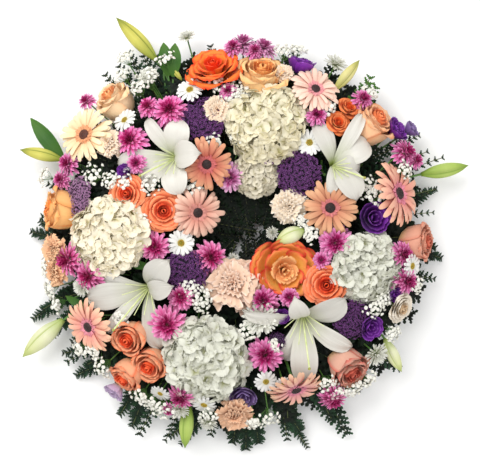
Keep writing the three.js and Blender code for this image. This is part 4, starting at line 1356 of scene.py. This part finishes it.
# Trachelium florets: deep violet, dull, lighter at the open points.
TRACHELIUM_SKINS = {
    "deep": petal_skin("violet throatwort florets", [
        (0.0, 0x32123A), (0.5, 0x6C3874), (1.0, 0xA070AC)], variety=0.5, roughness=0.7),
    "light": petal_skin("lavender throatwort florets", [
        (0.0, 0x7A4A74), (0.5, 0xA87CA0), (1.0, 0xCCA6C4)], variety=0.4, roughness=0.7),
}
# Inside of the head: dark purple-green branchlets.
TRACHELIUM_INSIDE = mottled("dark throatwort branchlets", 0x180C20, 0x33203C, 3, 0.9, 1.5, 0.001)


def trachelium_meshes(heads, skin, seed, count=420):
    """The core and the florets of throatwort heads."""
    return [
        single(heads, TRACHELIUM_CORE, TRACHELIUM_INSIDE, 0.92),
        dome(heads, TINY_STAR, skin, count, 0.07, width=0.98, height=0.26, depth_spread=0.22,
             tilt_spread=0.6, seed=seed)]


for seed, node, heads in blooms_of("trachelium", 291, 9, 0.18):
    skin = TRACHELIUM_SKINS["light" if node == "trachelium_left" else "deep"]
    flower(node, heads, trachelium_meshes(heads, skin, seed))


# One small piece of throatwort that fills a gap: place and radius (mm).
heads = on_cushion([(68, -206, 20)], seed=11)
small_flowers("small_throatwort", heads, "trachelium", trachelium_meshes(
    heads, TRACHELIUM_SKINS["deep"], 301, count=120))


# ------------------------------------------------------------------ gypsophila
# Baby's breath: clouds of tiny white double blossoms on hair-thin green stems, tucked between
# the larger flowers.

BLOSSOM_PETAL = petal("blossom petal", [0.02, 0.7, 1.0], [-0.3, 0.2, 0.3], [0.25, 0.62, 0.5],
                      across=1, along=2)
BLOSSOM = cross_of(BLOSSOM_PETAL, 5, 0.0)
BLOSSOM_HEART = turned_pattern("blossom heart", [
    (0, -0.6), (0.62, -0.25), (0.82, 0.2), (0.5, 0.62), (0, 0.72)], 7)
HAIR_STEM = turned_pattern("rod", [(0, 0), (1, 0), (0.8, 0.6), (1.1, 0.97), (0, 1)], 6)
BLOSSOM_MM, HAIR_MM = 3.7, 0.25
BLOSSOMS = 26
# Blossoms: chalk white, papery.
BLOSSOM_SKIN = petal_skin("chalk white blossoms", [
    (0.0, 0xEEEDE2), (0.5, 0xF6F4EC), (1.0, 0xF8F6F0)], variety=0.06, roughness=0.7)


def gypsophila_meshes(heads, seed):
    """The clouds of blossoms and their hair stems, for heads of any radius."""
    meshes = []
    for i, head in enumerate(heads):
        size = BLOSSOM_MM * MM / head.radius
        shape = {"width": 1.1, "height": 0.6, "depth_spread": 0.6, "tilt_spread": 0.5,
                 "seed": seed + i}
        meshes += [
            dome([head], BLOSSOM, BLOSSOM_SKIN, BLOSSOMS, size, **shape),
            dome([head], BLOSSOM_HEART, BLOSSOM_SKIN, BLOSSOMS, size, **shape),
            dome([head], HAIR_STEM, STEM_SKIN, BLOSSOMS, HAIR_MM * MM / head.radius,
                 tree=HAIR_TREE, **{**shape, "tilt_spread": 0.0}),
        ]
    return meshes


for seed, node, heads in blooms_of("gypsophila", 311, 8, 0.5):
    flower(node, heads, gypsophila_meshes(heads, seed))


# More sprigs of baby's breath in the gaps: place and radius (mm).
MORE_GYPSOPHILA = [
    (-156, 362, 24), (-190, 330, 26), (-212, 300, 24), (-240, 366, 22), (-244, 330, 20),
    (-404, 126, 22), (-300, 124, 28), (-264, 116, 22), (-236, 112, 20), (-186, 106, 22),
    (-100, 98, 22), (-52, 306, 24), (-24, 286, 22), (4, 284, 22), (84, 376, 24), (110, 382, 22),
    (168, 262, 22), (258, 292, 20), (244, 104, 28), (262, 88, 24), (324, 138, 24), (134, 8, 20),
    (118, 36, 18), (-202, 32, 20), (-88, -118, 30), (-110, -100, 22), (-284, -262, 26),
    (-300, -226, 22), (-392, -102, 22), (-378, -134, 22), (-400, -60, 20), (262, -140, 26),
    (280, -122, 20), (252, -286, 24), (222, -306, 24), (52, -362, 26), (20, -372, 20),
    (-70, -356, 26), (-160, -346, 28), (-186, -330, 22), (168, -290, 24), (192, -312, 22),
    (-330, -226, 22), (12, -186, 20), (300, -190, 22), (-206, -320, 24), (350, -96, 18),
    (-10, 200, 18), (-60, 190, 18), (-244, -160, 16), (60, -214, 16),
]
heads = on_cushion(MORE_GYPSOPHILA, lift=4, seed=13)
small_flowers("more_gypsophila", heads, "gypsophila", gypsophila_meshes(heads, 321))


# ------------------------------------------------------------------ leatherleaf fern
# Leatherleaf fern fronds, pushed into the foam under the flowers to hide it. Each is a stiff
# stalk with paired leaflets, lobed and glossy, that shorten towards the tip.

def leaflet_widths(lobes, widest):
    """Half-widths along a leaflet that go in and out with its lobes and shrink to its tip."""
    return [widest * (1 - i / (2 * lobes + 0.5)) ** 0.6 * (0.42 if i % 2 == 0 else 1.0)
            for i in range(2 * lobes + 1)]


def lobed_leaflet(name, widths):
    """A flat-shaded leaflet along +Y with a lobe at every other row of its edge."""
    rows = len(widths) - 1
    points, place = [], []
    for j, half in enumerate(widths):
        v = j / rows
        ahead = v + (0.07 if j % 2 else -0.02) * (1 - v)
        droop = 0.06 * math.sin(math.pi * v) - 0.05 * v
        for u in (-1, 0, 1):
            points.append((u * half, ahead if u else v, droop - 0.04 * abs(u)))
            place.append(((u + 1) / 2, v))
    return pattern(name, mesh_of(name, points, sheet_faces(rows, 2), place, smooth=False))


LEAFLET = lobed_leaflet("lobed fern leaflet", leaflet_widths(5, 0.4))
PLAIN_LEAFLET = lobed_leaflet("hidden fern leaflet", leaflet_widths(3, 0.42))
LEAFLET_SWEEP = 0.7  # how far the leaflets point ahead, against out
STALK_RADIUS = 0.0009
UPWARD = Vector((0, 0, 1))


def frond_tree():
    """A stalk on a bent curve with pairs of leaflets that shorten to its tip."""
    tree, given = new_tree("fern frond", [
        ("Start", "Vector"), ("Bend", "Vector"), ("End", "Vector"), ("Facing", "Vector"),
        ("Leaflet", "Object"), ("Pairs", "Int"), ("Bare", "Float"), ("Length", "Float"),
        ("Radius", "Float"), ("Seed", "Int"), ("Material", "Material"), ("Stalk", "Material")])
    curve = output(tree, "GeometryNodeCurveQuadraticBezier", {
        "Resolution": 8, "Start": given["Start"], "Middle": given["Bend"], "End": given["End"]})
    leafy = output(tree, "GeometryNodeTrimCurve", {
        "Curve": curve, "Start": given["Bare"], "End": 1.0}, mode="FACTOR")
    nodes = add(tree, "GeometryNodeCurveToPoints", {
        "Curve": leafy, "Count": given["Pairs"]}, mode="COUNT").outputs
    index = output(tree, "GeometryNodeInputIndex")
    share = math_node(tree, "DIVIDE", index, given["Pairs"])
    taper = math_node(tree, "POWER", math_node(tree, "SUBTRACT", 1.0, share), 0.36)
    size = product(tree, given["Length"], taper, chance(tree, given, 0.88, 1.08, 1))
    across = vector_node(tree, "CROSS_PRODUCT", {0: nodes["Tangent"], 1: given["Facing"]})
    parts = add(tree, "GeometryNodeJoinGeometry")
    for hand in (-1.0, 1.0):
        side = vector_node(tree, "SCALE", {0: across, "Scale": hand})
        swept = vector_node(tree, "SCALE", {0: nodes["Tangent"], "Scale": LEAFLET_SWEEP})
        ahead = vector_node(tree, "ADD", {0: side, 1: swept})
        turn = output(tree, "FunctionNodeAxesToRotation", {0: ahead, 1: given["Facing"]},
                      primary_axis="Y", secondary_axis="Z")
        wobble = rotation_of(tree, chance(tree, given, -0.2, 0.2, 2),
                             chance(tree, given, -0.4, 0.4, 3), chance(tree, given, -0.25, 0.25, 4))
        turned = output(tree, "FunctionNodeRotateRotation", {0: turn, 1: wobble},
                        rotation_space="LOCAL")
        leaves = copies_of(tree, given, "Leaflet", nodes["Points"], turned, size)
        tree.links.new(leaves, parts.inputs[0])
    real = output(tree, "GeometryNodeRealizeInstances", {"Geometry": parts.outputs[0]})
    whole = add(tree, "GeometryNodeJoinGeometry")
    for geometry, material in ((real, "Material"),
                               (tube(tree, curve, given["Radius"], 5), "Stalk")):
        tree.links.new(output(tree, "GeometryNodeSetMaterial", {
            "Geometry": geometry, "Material": given[material]}), whole.inputs[0])
    add(tree, "NodeGroupOutput", {0: whole.outputs[0]})
    return tree


FROND_TREE = frond_tree()
# Fern leaflets: dark, glossy, with forked veins.
FERN_SKIN = petal_skin("glossy fern leaflets", [(0.0, 0x0E2012), (0.5, 0x183420), (1.0, 0x264C2C)],
                       variety=0.4, roughness=0.42, sheen=0.0, veins=12.0, relief=0.001)
# The same fern deep between the flowers and in the hole: leaflets painted near black as the shade
# that fills those gaps.
SHADE_FERN_SKIN = petal_skin("dark fern leaflets", [
    (0.0, 0x060E06), (0.5, 0x0B190B), (1.0, 0x142A12)], variety=0.45, roughness=0.5, sheen=0.0,
    veins=12.0, relief=0.001)
# Fern stalks: brown-green and ridged.
FERN_STALK = mottled("brown green fern stalk", 0x3A3A1C, 0x5A6A30, 5, 0.6)


def frond(start, end, width, lift, pairs, seed, bare=0.2, leaflet=PLAIN_LEAFLET, skin=FERN_SKIN):
    """The mesh of one frond from its foot to its tip, arched by lift."""
    return grow(FROND_TREE, {
        "Start": start, "Bend": start.lerp(end, 0.5) + UPWARD * lift, "End": end,
        "Facing": UPWARD, "Leaflet": leaflet, "Pairs": pairs, "Bare": bare,
        "Length": 0.5 * width, "Radius": STALK_RADIUS, "Seed": seed, "Material": skin,
        "Stalk": FERN_STALK})


FERN_TIPS = {
    # node: the bearing of its foot in degrees, and its tips (mm) with the fronds' widths
    "fern_left": (190, [((-440, 12, 14), 60), ((-436, -168, 14), 60), ((-420, 34, 26), 60),
                        ((-398, -204, 24), 60), ((-414, -148, 24), 56)]),
    "fern_lower_left": (232, [((-346, -286, 14), 64), ((-230, -392, 14), 70),
                              ((-322, -262, 28), 60), ((-254, -366, 26), 64),
                              ((-372, -240, 22), 56)]),
    "fern_bottom": (272, [((-128, -430, 14), 56), ((6, -438, 14), 80), ((134, -436, 14), 48),
                          ((-20, -424, 22), 76), ((32, -424, 24), 74), ((118, -400, 24), 76),
                          ((-150, -414, 22), 54)]),
    "fern_right": (4, [((412, -42, 14), 60), ((398, 100, 14), 50), ((398, -20, 26), 60)]),
}
FERN_FOOT = 0.241
for seed, (node, (bearing, tips)) in enumerate(FERN_TIPS.items(), 331):
    foot = at_bearing(FERN_FOOT, math.radians(bearing), STEM_FOOT)
    settle(node + "_fronds", [
        frond(foot, *in_metres(tip), width * MM, 0.02, 26, seed + k, leaflet=LEAFLET)
        for k, (tip, width) in enumerate(tips)], "fern_green", node)

# More fronds that show between the flowers: for each piece its greens and its pairs of leaflets,
# and each frond's foot, tip and width (mm).
SHOWN_FERN = {
    "fern_tips_round_rim": (FERN_SKIN, 16, [
        ((-182, -150, 40), (-362, -256, 28), 56), ((-110, -210, 40), (-214, -406, 24), 60),
        ((-70, -225, 40), (-160, -420, 24), 48), ((110, -210, 40), (214, -404, 24), 80),
        ((100, -215, 40), (182, -372, 40), 70), ((160, -170, 40), (322, -270, 34), 60),
        ((60, -230, 40), (92, -416, 28), 60), ((-30, -235, 40), (-66, -406, 30), 60),
        ((10, 238, 50), (26, 400, 54), 52), ((60, 230, 50), (108, 382, 56), 56),
        ((-40, 235, 50), (-66, 392, 50), 52), ((-150, 185, 50), (-282, 334, 42), 52),
        ((-120, 200, 50), (-236, 380, 40), 56), ((-100, 215, 50), (-204, 372, 48), 56),
        ((-130, 195, 50), (-254, 352, 44), 56), ((-90, 220, 50), (-176, 372, 50), 56),
        ((-215, 60, 50), (-400, 110, 40), 52), ((-220, -90, 40), (-396, -128, 30), 60),
        ((-190, -140, 40), (-352, -216, 30), 60), ((200, 130, 50), (360, 210, 52), 44),
        ((-230, 20, 50), (-414, 44, 30), 56), ((225, -60, 50), (394, -84, 40), 50)]),
    "fern_sprigs_right": (FERN_SKIN, 12, [
        ((215, 110, 60), (376, 176, 60), 38), ((220, 100, 60), (408, 164, 56), 38),
        ((225, 60, 60), (396, 100, 48), 36), ((230, 40, 60), (390, 52, 50), 32)]),
    # The fronds across the hole are painted shade: a few fern tips show there, and the rest lie
    # near black over the open middle in place of its shadow.
    "fern_in_hole": (SHADE_FERN_SKIN, 18, [
        ((-92, 128, 44), (-14, 22, 30), 56), ((-52, 150, 50), (-8, 34, 34), 60),
        ((-10, 158, 50), (14, 40, 34), 60), ((30, 156, 50), (26, 34, 30), 60),
        ((70, 142, 50), (42, 28, 30), 58), ((-56, 148, 62), (68, 70, 52), 54),
        ((104, 118, 44), (52, 12, 28), 58), ((-140, 70, 40), (-12, 22, 22), 60),
        ((-150, 20, 40), (-6, 2, 18), 60), ((-70, -140, 40), (-16, -14, 36), 36),
        ((60, -148, 40), (26, -6, 20), 60), ((150, -20, 40), (38, 4, 16), 56),
        ((10, -158, 36), (6, -8, 18), 60), ((150, 40, 40), (46, 26, 18), 56),
        ((-110, -100, 34), (-20, -4, 24), 56), ((110, -100, 34), (40, -4, 24), 56),
        ((-20, 158, 40), (16, -2, 26), 54), ((-150, 50, 40), (34, 12, 28), 50)]),
}
for seed, (name, (skin, pairs, fronds)) in enumerate(SHOWN_FERN.items(), 341):
    settle(name, [frond(*in_metres(start, tip), width * MM, 0.016, pairs, seed * 20 + k,
                        bare=0.1, skin=skin)
                  for k, (start, tip, width) in enumerate(fronds)], "fern_green")

# A sprig of small serrated leaves, brighter than the fern, at the upper right.
settle("serrated_sprig", [
    frond(*in_metres(start, tip), 0.05, 0.01, 9, 361 + k, bare=0.4, skin=LEAF_SKIN)
    for k, (start, tip) in enumerate([
        ((175, 185, 60), (258, 324, 76)), ((178, 182, 60), (268, 306, 72))])], "fern_green")


# More fern over the foam and round the rim of the hole, all in the near-black skin of painted
# shade; the ring round the hole reaches in over the open middle to darken it as painted shade. For
# each ring of fronds: how many, the foot's and tip's distance from the middle and height (m), and
# the width of a frond.
FERN_RINGS = [
    ("fern_over_foam_outer", 30, 0.235, 0.04, 0.345, 0.05, 0.11),
    ("fern_under_flowers", 34, 0.225, 0.05, 0.33, 0.085, 0.11),
    ("fern_over_foam_top", 24, 0.19, 0.05, 0.25, 0.095, 0.1),
    ("fern_over_foam_inner", 24, 0.185, 0.05, 0.112, 0.075, 0.095),
    ("fern_round_hole", 26, 0.172, 0.038, 0.07, 0.03, 0.085),
    ("fern_at_rim", 40, 0.245, 0.025, 0.378, 0.036, 0.1),
]
for seed, (name, count, foot_out, foot_up, tip_out, tip_up, width) in enumerate(FERN_RINGS, 351):
    dice = np.random.default_rng(seed)
    meshes = []
    for k in range(count):
        bearing = 2 * math.pi * (k + dice.uniform(-0.3, 0.3)) / count
        skew = bearing + dice.uniform(-0.25, 0.25)
        reach = tip_out + dice.uniform(-0.015, 0.015)
        meshes.append(frond(
            at_bearing(foot_out, bearing, foot_up),
            at_bearing(reach, skew, tip_up + dice.uniform(-0.008, 0.008)),
            width * dice.uniform(0.85, 1.1), 0.012, 10, seed + k, bare=0.12, skin=SHADE_FERN_SKIN))
    settle(name, meshes, "fern_green")


# ------------------------------------------------------------------ set, light and camera
# The wreath lies on its flat back on a pale studio floor and the camera looks straight down at
# its face.

FLOOR_HALF = 4
corners = [(x * FLOOR_HALF, y * FLOOR_HALF, 0) for x, y in ((-1, -1), (1, -1), (1, 1), (-1, 1))]
floor = into_scene("floor", mesh_of("floor", corners, [(0, 1, 2, 3)], smooth=False))
# Studio paper: near white, matt.
floor.data.materials.append(mottled("white studio paper", 0xFAFAF9, 0xFDFDFC, 60, 0.9))

LIGHTS = [
    # name, place (m), size (m), power (W)
    ("overhead softbox", (-0.9, 1.2, 2.2), 1.6, 42),
    ("fill softbox", (1.4, -1.2, 1.8), 2.2, 11),
]
for name, place, size, power in LIGHTS:
    lamp = bpy.data.lights.new(name, "AREA")
    lamp.size, lamp.energy = size, power
    holder = into_scene(name, lamp)
    holder.location = place
    holder.rotation_euler = (-Vector(place)).to_track_quat("-Z", "Y").to_euler()

world = bpy.data.worlds.new("studio")
world.use_nodes = True
background = world.node_tree.nodes["Background"].inputs
background["Color"].default_value = linear(0xFFFFFF)
background["Strength"].default_value = 0.84
bpy.context.scene.world = world
bpy.context.scene.view_settings.view_transform = "Standard"

camera_data = bpy.data.cameras.new("camera")
camera_data.lens, camera_data.sensor_width = 85, 36
camera = into_scene("camera", camera_data)
camera.location = (-0.006, 0.015, 2.377)
bpy.context.scene.camera = camera
